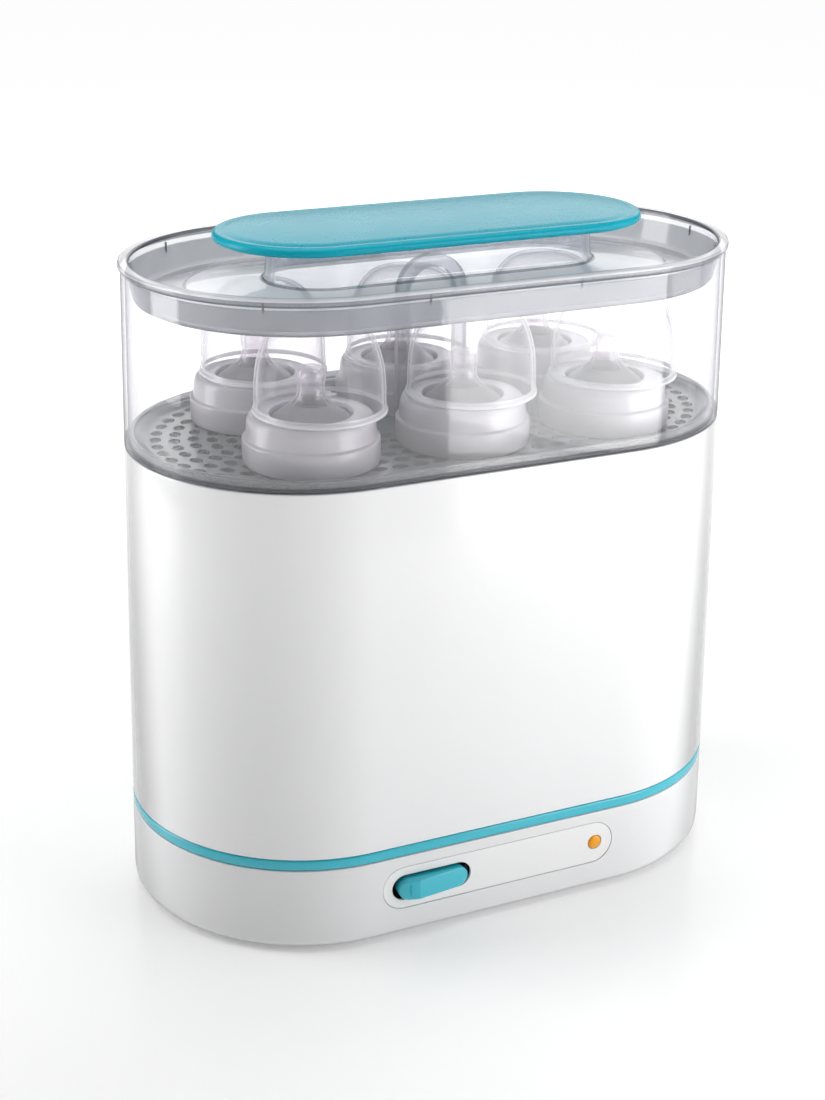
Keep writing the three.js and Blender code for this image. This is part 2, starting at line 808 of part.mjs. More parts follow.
const model = new THREE.Group();
model.name = 'bottle_steriliser';

const rocker = powerRocker();
const keyFrontY = rocker.boundingBox().min[1];

model.add(node('base_housing', 'white', baseHousing()));
model.add(node('base_plate', 'dark', basePlate()));
footPlaces().forEach((place, i) => model.add(node(`foot_${i + 1}`, 'rubber', foot(place))));
screwPlaces().forEach((place, i) => {
  model.add(node(`base_screw_${i + 1}`, 'steel', baseScrew(place)));
});
model.add(node('accent_ring', 'teal', accentRing()));
model.add(node('water_basin', 'basin', waterBasin()));
model.add(node('heater_seal', 'rubber', heaterSeal()));
model.add(node('heating_plate', 'heater', heatingPlate()));
model.add(node('heating_element', 'steel', heatingElement()));
model.add(node('thermostat', 'steel', thermostat()));
model.add(node('thermal_fuse', 'steel', thermalFuse()));
model.add(node('control_board', 'board', controlBoard()));
model.add(node('indicator_led', 'amber', indicatorLed()));
model.add(node('indicator_lens', 'amber', indicatorLens()));
model.add(node('control_panel', 'white', controlPanel()));
model.add(node('switch_module', 'dark', switchModule()));
model.add(node('rocker_pin', 'steel', rockerPin()));
model.add(node('power_rocker', 'teal', rocker));
model.add(node('cord_gland', 'dark', cordGland(-keyFrontY)));
model.add(node('terminal_block', 'milky', terminalBlock()));
model.add(node('lead_left', 'lead', elementLead(-1)));
model.add(node('lead_right', 'lead', elementLead(1)));
model.add(node('lead_switch', 'lead', switchLead()));
model.add(node('large_basket', 'white', largeBasket()));
model.add(node('fold_plate', 'smoke', foldPlate(), 0.7));
model.add(node('small_basket_tray', 'smoke', smallBasketTray(), 0.6));
model.add(node('basket_handle', 'smoke', basketHandle(), 0.6));
topPlaces().forEach((place, i) => {
  model.add(node(`bottle_ring_${i + 1}`, 'milky', bottleRing(place), 0.8));
  model.add(node(`teat_${i + 1}`, 'silicone', teat(place), 0.8));
  model.add(node(`dome_cap_${i + 1}`, 'clear', domeCap(place), 0.35));
});
model.add(node('lid_shell', 'clear', lidShell(), 0.35));
model.add(node('lid_handle', 'teal', lidHandle()));

export default model;
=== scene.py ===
"""Looks of an oval steam steriliser for feeding bottles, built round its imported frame.

Lengths in the section tables are millimetres. MM turns them into scene units (metres).
"""

import logging
import math
from dataclasses import dataclass, field
from enum import Enum
from typing import Any, Callable, Iterable, Optional, Sequence, Union

import bmesh
import bpy
from mathutils import Matrix, Vector


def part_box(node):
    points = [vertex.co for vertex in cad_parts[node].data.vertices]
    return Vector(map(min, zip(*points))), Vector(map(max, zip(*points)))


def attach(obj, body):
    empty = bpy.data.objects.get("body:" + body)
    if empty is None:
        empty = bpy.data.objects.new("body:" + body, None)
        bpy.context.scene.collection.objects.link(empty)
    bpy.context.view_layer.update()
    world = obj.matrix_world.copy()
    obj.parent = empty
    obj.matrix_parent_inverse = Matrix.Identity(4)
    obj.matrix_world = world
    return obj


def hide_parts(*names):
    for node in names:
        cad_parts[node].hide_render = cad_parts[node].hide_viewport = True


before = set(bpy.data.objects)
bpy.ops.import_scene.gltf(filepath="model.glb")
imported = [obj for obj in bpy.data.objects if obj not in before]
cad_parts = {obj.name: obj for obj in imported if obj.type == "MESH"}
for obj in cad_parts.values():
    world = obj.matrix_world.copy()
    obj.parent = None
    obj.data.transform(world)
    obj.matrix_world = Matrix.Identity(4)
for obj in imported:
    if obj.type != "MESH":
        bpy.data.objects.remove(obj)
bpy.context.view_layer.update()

MM = 0.001
LOG = logging.getLogger("steriliser")
logging.basicConfig(level=logging.INFO, format="%(name)s: %(message)s")

Number = Union[int, float]


# ---------------------------------------------------------------------------------------
# Shader graphs
# ---------------------------------------------------------------------------------------


class Term:
    """A socket that takes part in arithmetic and adds its Math nodes as it goes."""

    def __init__(self, graph: "ShaderGraph", socket: bpy.types.NodeSocket) -> None:
        """Wraps an output socket of a graph."""
        self.graph = graph
        self.socket = socket

    def _math(self, operation: str, first: Any, second: Any) -> "Term":
        """Adds one Math node and returns its result."""
        return self.graph.term("ShaderNodeMath", {"operation": operation}, {0: first, 1: second})

    def __add__(self, other: Any) -> "Term":
        """self + other."""
        return self._math("ADD", self, other)

    def __radd__(self, other: Any) -> "Term":
        """other + self."""
        return self._math("ADD", other, self)

    def __sub__(self, other: Any) -> "Term":
        """self - other."""
        return self._math("SUBTRACT", self, other)

    def __rsub__(self, other: Any) -> "Term":
        """other - self."""
        return self._math("SUBTRACT", other, self)

    def __mul__(self, other: Any) -> "Term":
        """self * other."""
        return self._math("MULTIPLY", self, other)

    def __rmul__(self, other: Any) -> "Term":
        """other * self."""
        return self._math("MULTIPLY", other, self)

    def __truediv__(self, other: Any) -> "Term":
        """self / other."""
        return self._math("DIVIDE", self, other)

    def __pow__(self, other: Any) -> "Term":
        """self ** other."""
        return self._math("POWER", self, other)

    def clamp(self) -> "Term":
        """The value held between 0 and 1."""
        return self.graph.term("ShaderNodeClamp", {}, {"Value": self})

    def spread(self, low: Number, high: Number) -> "Term":
        """Maps 0..1 on to low..high."""
        return self * (high - low) + low


class ShaderGraph:
    """Node graph of one material, with a single way of adding nodes."""

    def __init__(self, name: str) -> None:
        """Makes an empty node material.

        Args:
            name: material name.
        """
        self.material = bpy.data.materials.new(name)
        self.material.use_nodes = True
        self.tree = self.material.node_tree
        self.tree.nodes.clear()

    def node(self, kind: str, settings: dict[str, Any], sockets: dict[Any, Any]) -> bpy.types.Node:
        """Adds a node.

        Args:
            kind: node type.
            settings: attributes set first; "stops" holds the (place, colour) pairs of a ramp.
            sockets: input name or number to a number, a tuple, or a Term to link.

        Returns:
            The new node.
        """
        made = self.tree.nodes.new(kind)
        for key, value in settings.items():
            if key == "stops":
                self._set_stops(made, value)
            else:
                setattr(made, key, value)
        for key, value in sockets.items():
            if isinstance(value, Term):
                self.tree.links.new(value.socket, made.inputs[key])
            else:
                made.inputs[key].default_value = value
        return made

    def term(
        self,
        kind: str,
        settings: dict[str, Any],
        sockets: dict[Any, Any],
        output: Union[int, str] = 0,
    ) -> Term:
        """Adds a node and wraps one of its outputs.

        Args:
            kind: node type.
            settings: attributes set first.
            sockets: input values or links.
            output: output name or number.

        Returns:
            The wrapped output.
        """
        return Term(self, self.node(kind, settings, sockets).outputs[output])

    @staticmethod
    def _set_stops(ramp: bpy.types.Node, stops: Sequence[tuple[float, tuple]]) -> None:
        """Gives a colour ramp its stops."""
        elements = ramp.color_ramp.elements
        while len(elements) < len(stops):
            elements.new(0.5)
        for element, (place, colour) in zip(elements, stops):
            element.position = place
            element.color = colour

    def place(self) -> Term:
        """Object coordinates, which stay with the piece."""
        return self.term("ShaderNodeTexCoord", {}, {}, "Object")

    def noise(self, scale: Number, detail: Number = 2.0, stretch: Optional[tuple] = None) -> Term:
        """Noise of about 0 to 1 over the surface.

        Args:
            scale: cells per metre.
            detail: octaves.
            stretch: scaling along X, Y and Z before the noise.

        Returns:
            The noise value.
        """
        where = self.place()
        if stretch is not None:
            where = self.term("ShaderNodeMapping", {}, {"Vector": where, "Scale": stretch})
        return self.term(
            "ShaderNodeTexNoise", {}, {"Vector": where, "Scale": scale, "Detail": detail}
        )

    def ramp(self, value: Term, low: Number, high: Number) -> Term:
        """0 below low, 1 above high and smooth between them."""
        return self.term(
            "ShaderNodeMapRange",
            {"interpolation_type": "SMOOTHSTEP"},
            {"Value": value, "From Min": low, "From Max": high},
        )

    def facing(self) -> Term:
        """0 where the surface faces the eye, 1 where it turns away."""
        return self.term("ShaderNodeLayerWeight", {}, {"Blend": 0.5}, "Facing")

    def mix(self, factor: Any, first: Any, second: Any) -> Term:
        """Mixes two colours by a factor."""
        return self.term(
            "ShaderNodeMix",
            {"data_type": "RGBA"},
            {"Factor": factor, 6: first, 7: second},
            2,
        )

    def bump(self, height: Term, strength: float, distance: float) -> Term:
        """Normal from a height field, with its depth in metres."""
        return self.term(
            "ShaderNodeBump", {}, {"Height": height, "Strength": strength, "Distance": distance}
        )

    def blend(self, factor: Term, first: bpy.types.Node, second: bpy.types.Node) -> bpy.types.Node:
        """Mixes two shaders by a factor."""
        mixed = self.node("ShaderNodeMixShader", {}, {0: factor})
        self.tree.links.new(first.outputs[0], mixed.inputs[1])
        self.tree.links.new(second.outputs[0], mixed.inputs[2])
        return mixed

    def surface(self, shader: bpy.types.Node) -> bpy.types.Material:
        """Connects a shader to the output and returns the material."""
        out = self.tree.nodes.new("ShaderNodeOutputMaterial")
        self.tree.links.new(shader.outputs[0], out.inputs["Surface"])
        return self.material


def rgba(colour: Sequence[float], alpha: float = 1.0) -> tuple[float, float, float, float]:
    """Colour triple with an alpha added."""
    return (colour[0], colour[1], colour[2], alpha)


def shade(colour: Sequence[float], factor: float) -> tuple[float, float, float, float]:
    """Colour scaled by a factor, kept within 0 to 1."""
    return rgba([min(1.0, c * factor) for c in colour])


# ---------------------------------------------------------------------------------------
# Finishes
# ---------------------------------------------------------------------------------------


class Grain(Enum):
    """Surface texture of a moulding: scale per metre, and bump depth in metres."""

    POLISHED = (420.0, 0.000012)
    SATIN = (1500.0, 0.00003)
    MATT = (2600.0, 0.00006)


@dataclass(frozen=True)
class MouldedPlastic:
    """Opaque injection moulding with faint flow marks, the texture of its mould, and painted shade
    towards its outline.
    """

    name: str
    colour: tuple[float, float, float]
    roughness: float
    grain: Grain
    coat: float = 0.0
    mottling: float = 0.03
    # edge: strength of the painted shade that darkens the colour towards the outline.
    edge: float = 0.0
    gloss: float = 0.5

    def material(self) -> bpy.types.Material:
        """Builds the material."""
        graph = ShaderGraph(self.name)
        scale, depth = self.grain.value
        flow = graph.noise(9.0, 3.0, (1.0, 1.0, 0.35))
        fine = graph.noise(scale, 2.0)
        patches = graph.noise(55.0, 4.0)
        tone = graph.mix(
            graph.ramp(flow, 0.35, 0.7),
            shade(self.colour, 1.0 - self.mottling),
            shade(self.colour, 1.0 + self.mottling * 0.6),
        )
        # Painted shade: the tone darkens towards a quarter of the colour where the surface turns from
        # the eye.
        if self.edge > 0:
            turned_away = graph.facing()
            soft = graph.ramp(turned_away, 0.5, 0.78) * 0.5 + graph.ramp(turned_away, 0.84, 0.98) * 0.5
            tone = graph.mix((soft * self.edge).clamp(), tone, shade(self.colour, 0.25))
        rough = (patches - 0.5) * 0.08 + (fine - 0.5) * 0.06 + self.roughness
        shader = graph.node(
            "ShaderNodeBsdfPrincipled",
            {},
            {
                "Base Color": tone,
                "Roughness": rough.clamp(),
                "Specular IOR Level": self.gloss,
                "Coat Weight": self.coat,
                "Coat Roughness": 0.06,
                "IOR": 1.5,
                "Normal": graph.bump(fine, 0.35, depth),
            },
        )
        return graph.surface(shader)


@dataclass(frozen=True)
class ClearPlastic:
    """Clear or tinted thin wall: see-through face on, denser where it turns away, where its rim colour
    is painted: a dark rim is painted shade, a bright rim a painted highlight.
    """

    name: str
    tint: tuple[float, float, float]
    body: tuple[float, float, float]
    # rim: colour painted where the wall turns from the eye, painted shade when dark and a painted
    # highlight when bright.
    rim: tuple[float, float, float]
    face_on: float
    edge_on: float
    roughness: float = 0.06
    haze: float = 0.0
    bend: float = 2.2
    shine: float = 1.0
    glare: float = 0.5

    def material(self) -> bpy.types.Material:
        """Builds the material: a see-through body under a thin reflecting skin."""
        graph = ShaderGraph(self.name)
        away = graph.facing()
        cloud = graph.noise(38.0, 3.0)
        fine = graph.noise(700.0, 2.0)
        density = (away**self.bend) * (self.edge_on - self.face_on) + self.face_on
        density = density + (cloud - 0.5) * (0.02 + self.haze)
        tone = graph.mix(cloud, shade(self.body, 0.97), shade(self.body, 1.02))
        clear = graph.node("ShaderNodeBsdfTransparent", {}, {"Color": rgba(self.tint)})
        solid = graph.node(
            "ShaderNodeBsdfPrincipled",
            {},
            {
                # Base colour shifts to the painted rim colour towards the outline.
                "Base Color": graph.mix(graph.ramp(away, 0.74, 0.9), tone, rgba(self.rim)),
                "Roughness": ((fine - 0.5) * 0.05 + 0.4).clamp(),
                "Specular IOR Level": 0.2,
                "Normal": graph.bump(cloud, 0.15, 0.0004),
            },
        )
        mirror = graph.node(
            "ShaderNodeBsdfAnisotropic",
            {"distribution": "GGX"},
            {
                "Color": (1.0, 1.0, 1.0, 1.0),
                "Roughness": ((fine - 0.5) * 0.02 + self.roughness).clamp(),
                "Normal": graph.bump(cloud, 0.1, 0.0003),
            },
        )
        under = graph.blend(density.clamp(), clear, solid)
        skin = ((away**5.0) * self.glare + 0.04) * self.shine
        return graph.surface(graph.blend(skin, under, mirror))


@dataclass(frozen=True)
class Metal:
    """Bare or coated metal with fine turning or brushing marks."""

    name: str
    colour: tuple[float, float, float]
    roughness: float
    stretch: tuple[float, float, float]
    metallic: float = 1.0

    def material(self) -> bpy.types.Material:
        """Builds the material."""
        graph = ShaderGraph(self.name)
        marks = graph.noise(300.0, 3.0, self.stretch)
        stain = graph.noise(40.0, 4.0)
        tone = graph.mix(
            graph.ramp(stain, 0.4, 0.75), shade(self.colour, 1.05), shade(self.colour, 0.82)
        )
        shader = graph.node(
            "ShaderNodeBsdfPrincipled",
            {},
            {
                "Base Color": tone,
                "Metallic": self.metallic,
                "Roughness": ((marks - 0.5) * 0.2 + self.roughness).clamp(),
                "Normal": graph.bump(marks, 0.25, 0.00004),
            },
        )
        return graph.surface(shader)


@dataclass(frozen=True)
class Rubber:
    """Soft matt rubber or lead insulation with a dusty bloom."""

    name: str
    colour: tuple[float, float, float]

    def material(self) -> bpy.types.Material:
        """Builds the material."""
        graph = ShaderGraph(self.name)
        bloom = graph.noise(120.0, 5.0)
        fine = graph.noise(2200.0, 2.0)
        tone = graph.mix(
            graph.ramp(bloom, 0.45, 0.8), rgba(self.colour), shade(self.colour, 1.6)
        )
        shader = graph.node(
            "ShaderNodeBsdfPrincipled",
            {},
            {
                "Base Color": tone,
                "Roughness": (bloom * 0.2 + 0.6).clamp(),
                "Normal": graph.bump(fine, 0.4, 0.00006),
            },
        )
        return graph.surface(shader)


@dataclass(frozen=True)
class CircuitBoard:
    """Solder-masked board with copper tracks under the mask."""

    name: str
    colour: tuple[float, float, float]

    def material(self) -> bpy.types.Material:
        """Builds the material."""
        graph = ShaderGraph(self.name)
        tracks = graph.term(
            "ShaderNodeTexBrick",
            {"offset": 0.37},
            {"Vector": graph.place(), "Scale": 120.0, "Mortar Size": 0.03},
            "Fac",
        )
        grit = graph.noise(900.0, 2.0)
        shader = graph.node(
            "ShaderNodeBsdfPrincipled",
            {},
            {
                "Base Color": graph.mix(tracks, rgba(self.colour), (0.16, 0.42, 0.16, 1.0)),
                "Roughness": (grit * 0.2 + 0.3).clamp(),
                "Normal": graph.bump(tracks, 0.3, 0.00005),
            },
        )
        return graph.surface(shader)


@dataclass(frozen=True)
class GlowLens:
    """Coloured lens lit from behind, brighter in its middle rings."""

    name: str
    colour: tuple[float, float, float]
    glow: float

    def material(self) -> bpy.types.Material:
        """Builds the material."""
        graph = ShaderGraph(self.name)
        rings = graph.noise(260.0, 2.0)
        shader = graph.node(
            "ShaderNodeBsdfPrincipled",
            {},
            {
                "Base Color": graph.mix(rings, rgba(self.colour), shade(self.colour, 1.25)),
                "Roughness": (rings * 0.1 + 0.12).clamp(),
                "Specular IOR Level": 0.3,
                "Coat Weight": 0.25,
                "Coat Roughness": 0.03,
                "Emission Color": graph.mix(rings, shade(self.colour, 0.9), rgba(self.colour)),
                "Emission Strength": self.glow,
                "Normal": graph.bump(rings, 0.2, 0.0001),
            },
        )
        return graph.surface(shader)


@dataclass(frozen=True)
class FloorFinish:
    """Pale polished tabletop that the appliance stands on, with a painted glow: dim near the appliance
    as painted shade, bright far off.
    """

    name: str

    def material(self) -> bpy.types.Material:
        """Builds the material."""
        graph = ShaderGraph(self.name)
        wide = graph.noise(1.3, 2.0)
        away = graph.term("ShaderNodeVectorMath", {"operation": "LENGTH"}, {0: graph.place()}, 1)
        # Painted light: the floor glows, dimly within a quarter metre of the origin and brightly from
        # a metre out.
        near, far = (0.12, 0.12, 0.12, 1.0), (0.90, 0.90, 0.90, 1.0)
        shader = graph.node(
            "ShaderNodeBsdfPrincipled",
            {},
            {
                "Base Color": graph.mix(wide, (0.93, 0.93, 0.93, 1.0), (0.95, 0.95, 0.95, 1.0)),
                "Roughness": (wide * 0.06 + 0.2).clamp(),
                "Specular IOR Level": 0.35,
                "Emission Color": graph.mix(graph.ramp(away, 0.25, 1.0), near, far),
                "Emission Strength": 1.0,
            },
        )
        return graph.surface(shader)


class Finish(Enum):
    """Every finish that the appliance wears."""

    # The edge values set painted shade towards each outline.
    BODY_WHITE = MouldedPlastic(
        "body_white", (0.86, 0.862, 0.87), 0.14, Grain.POLISHED, 0.5, 0.01, edge=1.5
    )
    BASE_WHITE = MouldedPlastic(
        "base_white", (0.83, 0.832, 0.84), 0.32, Grain.SATIN, 0.1, 0.015, edge=0.8
    )
    PANEL_WHITE = MouldedPlastic("panel_white", (0.9, 0.9, 0.9), 0.3, Grain.SATIN, 0.2, 0.01)
    TEAL_SATIN = MouldedPlastic(
        "teal_satin", (0.006, 0.45, 0.58), 0.28, Grain.SATIN, 0.0, 0.04, edge=0.35, gloss=0.21
    )
    TEAL_GLOSS = MouldedPlastic(
        "teal_gloss", (0.03, 0.50, 0.62), 0.24, Grain.POLISHED, 0.4, 0.03, edge=0.5
    )
    BASIN_GREY = MouldedPlastic("basin_grey", (0.62, 0.63, 0.64), 0.38, Grain.SATIN, 0.0, 0.05)
    DARK = MouldedPlastic("dark_plastic", (0.035, 0.036, 0.04), 0.5, Grain.MATT, 0.0, 0.2)
    RING_MILK = MouldedPlastic(
        "ring_milk", (0.61, 0.588, 0.62), 0.3, Grain.SATIN, 0.3, 0.03, edge=0.5
    )
    # Dark rim: painted shade lines along the lid wall's outline.
    CLEAR_WALL = ClearPlastic(
        "clear_wall", (0.995, 0.995, 1.0), (0.80, 0.80, 0.84), (0.08, 0.085, 0.105), 0.025, 1.0, 0.03,
        bend=5.0, glare=0.1,
    )
    # Dark grey, half opaque copy of the clear lid plastic: painted shade on the well wall and its
    # nibs.
    CLEAR_WELL_SHADED = ClearPlastic(
        "clear_well_painted_shade", (0.80, 0.81, 0.83), (0.14, 0.15, 0.18), (0.10, 0.11, 0.135), 0.58, 0.75, 0.08
    )
    CLEAR_FLOOR = ClearPlastic(
        "clear_floor", (0.98, 0.98, 0.985), (0.88, 0.885, 0.91), (0.40, 0.41, 0.46), 0.34, 0.5, 0.06
    )
    CLEAR_STEP = ClearPlastic(
        "clear_step", (0.96, 0.965, 0.98), (0.74, 0.75, 0.79), (0.22, 0.23, 0.27), 0.24, 0.8, 0.05,
        bend=3.0,
    )
    # Near-black, mostly opaque copy of the clear lid plastic: painted shade lines at the lid's lower
    # edge and along its lip.
    CLEAR_EDGE_SHADED = ClearPlastic(
        "clear_edge_painted_shade", (0.7, 0.72, 0.76), (0.10, 0.105, 0.125), (0.06, 0.065, 0.08), 0.75, 0.95, 0.1
    )
    # Bright rim: painted highlight on the domes' outlines.
    CLEAR_DOME = ClearPlastic(
        "clear_dome", (0.998, 0.995, 0.998), (0.74, 0.73, 0.77), (0.86, 0.85, 0.89), 0.015, 0.9, 0.03,
        bend=4.5, shine=0.3,
    )
    # Pale, half opaque copy of the clear dome plastic on the dome's foot: a painted highlight along
    # its lower edge.
    DOME_RIM_HIGHLIGHT = ClearPlastic(
        "dome_rim_painted_highlight", (0.97, 0.97, 0.98), (0.9, 0.9, 0.92), (0.9, 0.9, 0.92), 0.6, 0.85, 0.05
    )
    # SMOKE and SMOKE_CLEAR: their dark rims are painted shade along the outlines.
    SMOKE = ClearPlastic(
        "smoke", (0.82, 0.83, 0.85), (0.34, 0.35, 0.375), (0.15, 0.15, 0.17), 0.36, 0.9, 0.1,
        haze=0.05,
    )
    SMOKE_CLEAR = ClearPlastic(
        "smoke_clear", (0.86, 0.86, 0.88), (0.36, 0.36, 0.39), (0.13, 0.13, 0.15), 0.24, 0.95, 0.1,
        haze=0.04, bend=1.2, glare=0.2,
    )
    # Bright rim: painted highlight on the teats' outlines.
    SILICONE = ClearPlastic(
        "silicone", (0.97, 0.95, 0.97), (0.82, 0.80, 0.83), (0.95, 0.94, 0.96), 0.07, 0.9, 0.04,
        haze=0.03, bend=2.6, shine=1.2,
    )
    SILICONE_SKIRT = ClearPlastic(
        "silicone_skirt", (0.85, 0.84, 0.86), (0.46, 0.45, 0.48), (0.6, 0.59, 0.62), 0.5, 0.85, 0.08
    )
    HEATER = Metal("heater_plate", (0.42, 0.43, 0.45), 0.3, (1.0, 1.0, 8.0))
    STEEL = Metal("bright_steel", (0.62, 0.62, 0.64), 0.28, (1.0, 8.0, 1.0))
    RUBBER = Rubber("dark_rubber", (0.025, 0.025, 0.027))
    LEAD = Rubber("lead_insulation", (0.42, 0.06, 0.035))
    BOARD = CircuitBoard("board_mask", (0.03, 0.16, 0.06))
    AMBER = GlowLens("amber_lens", (0.76, 0.31, 0.003), 0.08)


class Palette:
    """Builds each finish once and hands it out."""

    def __init__(self) -> None:
        """Starts with no material built."""
        self._made: dict[Finish, bpy.types.Material] = {}

    def __getitem__(self, finish: Finish) -> bpy.types.Material:
        """Material of a finish, made the first time it is asked for."""
        if finish not in self._made:
            self._made[finish] = finish.value.material()
        return self._made[finish]


# ---------------------------------------------------------------------------------------
# Sections and meshes
# ---------------------------------------------------------------------------------------


@dataclass(frozen=True)
class Corner:
    """Corner of a section, in millimetres: radius, height, rounding and half straight side.

    zone numbers the material from this corner to the next one.
    """

    r: float
    z: float
    rounding: float = 0.0
    a: float = 65.0
    zone: int = 0


def softened(
    corners: Sequence[Corner], closed: bool, steps: int = 4
) -> tuple[list[Vector], list[int]]:
    """Section points with each rounded corner turned into a short curve.

    Args:
        corners: the section's corners in order.
        closed: True if the last corner joins the first.
        steps: segments in each rounding.

    Returns:
        Points as (a, r, z), in millimetres, and the zone that starts at each.
    """
    places = [Vector((c.a, c.r, c.z)) for c in corners]
    count = len(places)
    points: list[Vector] = []
    zones: list[int] = []
    for i, (corner, here) in enumerate(zip(corners, places)):
        ends = not closed and i in (0, count - 1)
        if corner.rounding <= 0 or ends:
            points.append(here)
            zones.append(corner.zone)
            continue
        before = places[i - 1] - here
        after = places[(i + 1) % count] - here
        reach = min(corner.rounding, 0.48 * before.length, 0.48 * after.length)
        start = here + before.normalized() * reach
        stop = here + after.normalized() * reach
        for step in range(steps + 1):
            t = step / steps
            points.append(start.lerp(here, t).lerp(here.lerp(stop, t), t))
            zones.append(corner.zone)
    return points, zones


Skin = Union[bpy.types.Material, Sequence[bpy.types.Material]]


class MeshMaker:
    """Turns a filled bmesh into a finished object."""

    @staticmethod
    def finish(
        name: str,
        mesh: bmesh.types.BMesh,
        material: "Skin",
        sharp: float = 38.0,
    ) -> bpy.types.Object:
        """Recalculates normals, marks sharp edges and links the object.

        Args:
            name: piece name.
            mesh: geometry in metres; it is freed.
            material: material of every face, or the materials of the zones.
            sharp: edge angle in degrees from which an edge stays sharp.

        Returns:
            The new object, at the origin.
        """
        bmesh.ops.remove_doubles(mesh, verts=mesh.verts, dist=1e-7)
        bmesh.ops.recalc_face_normals(mesh, faces=mesh.faces)
        for face in mesh.faces:
            face.smooth = True
        for edge in mesh.edges:
            if edge.is_manifold and edge.calc_face_angle() > math.radians(sharp):
                edge.smooth = False
        data = bpy.data.meshes.new(name)
        mesh.to_mesh(data)
        mesh.free()
        for each in material if isinstance(material, (list, tuple)) else (material,):
            data.materials.append(each)
        piece = bpy.data.objects.new(name, data)
        bpy.context.scene.collection.objects.link(piece)
        return piece

    @staticmethod
    def settled(source: bpy.types.Object, name: str, sharp: float = 38.0) -> bpy.types.Object:
        """Plain mesh of an object with its modifiers worked in, replacing the object.

        Args:
            source: object whose modifiers are evaluated.
            name: name of the plain piece.
            sharp: edge angle in degrees from which an edge stays sharp.

        Returns:
            The plain piece.
        """
        bpy.context.view_layer.update()
        graph = bpy.context.evaluated_depsgraph_get()
        data = bpy.data.meshes.new_from_object(source.evaluated_get(graph))
        old = source.data
        bpy.data.objects.remove(source)
        if old.users == 0:
            bpy.data.meshes.remove(old)
        mesh = bmesh.new()
        mesh.from_mesh(data)
        bmesh.ops.remove_doubles(mesh, verts=mesh.verts, dist=1e-6)
        for face in mesh.faces:
            face.smooth = True
        for edge in mesh.edges:
            edge.smooth = not (
                edge.is_manifold and edge.calc_face_angle() > math.radians(sharp)
            )
        mesh.to_mesh(data)
        mesh.free()
        data.name = name
        piece = bpy.data.objects.new(name, data)
        bpy.context.scene.collection.objects.link(piece)
        return piece


def oval(a: float, r: float, z: float, steps: int) -> list[Vector]:
    """Corners of an oval outline, in metres, anticlockwise from above."""
    corners = []
    for side in (1, -1):
        for i in range(steps + 1):
            angle = -math.pi / 2 + math.pi * i / steps
            x = side * (a + r * math.cos(angle))
            corners.append(Vector((x, side * r * math.sin(angle), z)) * MM)
    return corners


def swept_oval(
    name: str,
    corners: Sequence[Corner],
    material: Skin,
    capped: bool = False,
    steps: int = 48,
    soft: int = 4,
) -> bpy.types.Object:
    """Body swept round an oval from a section.

    Args:
        name: piece name.
        corners: section corners; a band's section is closed, a capped body's is open.
        material: material of every face.
        capped: True closes both ends with flat faces.
        steps: segments in each rounded end.
        soft: segments in each rounding of the section.

    Returns:
        The new piece.
    """
    mesh = bmesh.new()
    section, zones = softened(corners, not capped, soft)
    rings = [[mesh.verts.new(p) for p in oval(*point, steps)] for point in section]
    pairs = list(zip(rings, rings[1:]))
    if not capped:
        pairs.append((rings[-1], rings[0]))
    for (low, high), zone in zip(pairs, zones):
        for j in range(len(low)):
            k = (j + 1) % len(low)
            mesh.faces.new((low[j], low[k], high[k], high[j])).material_index = zone
    if capped:
        mesh.faces.new(list(reversed(rings[0])))
        mesh.faces.new(rings[-1])
    return MeshMaker.finish(name, mesh, material)


def turned(
    name: str,
    corners: Sequence[Corner],
    centre: tuple[float, float],
    material: Skin,
    steps: int = 64,
    soft: int = 4,
    lean: Optional[Matrix] = None,
) -> bpy.types.Object:
    """Body turned about an upright line.

    Args:
        name: piece name.
        corners: closed section; a corner at r = 0 is a pole.
        centre: X and Y of the line, in millimetres.
        material: material of every face.
        steps: segments round the line.
        soft: segments in each rounding of the section.
        lean: small turn given to the finished mesh, in metres.

    Returns:
        The new piece.
    """
    mesh = bmesh.new()
    section, zones = softened(corners, True, soft)
    rings = []
    for _, r, z in section:
        if r < 1e-6:
            rings.append([mesh.verts.new(Vector((centre[0], centre[1], z)) * MM)])
            continue
        ring = []
        for j in range(steps):
            angle = 2 * math.pi * j / steps
            x = centre[0] + r * math.cos(angle)
            y = centre[1] + r * math.sin(angle)
            ring.append(mesh.verts.new(Vector((x, y, z)) * MM))
        rings.append(ring)
    for low, high, zone in zip(rings, rings[1:] + rings[:1], zones):
        if len(low) == 1 and len(high) == 1:
            continue
        for j in range(steps):
            k = (j + 1) % steps
            loop = (low[j % len(low)], low[k % len(low)], high[k % len(high)], high[j % len(high)])
            mesh.faces.new(list(dict.fromkeys(loop))).material_index = zone
    if lean is not None:
        bmesh.ops.transform(mesh, matrix=lean, verts=mesh.verts)
    return MeshMaker.finish(name, mesh, material)


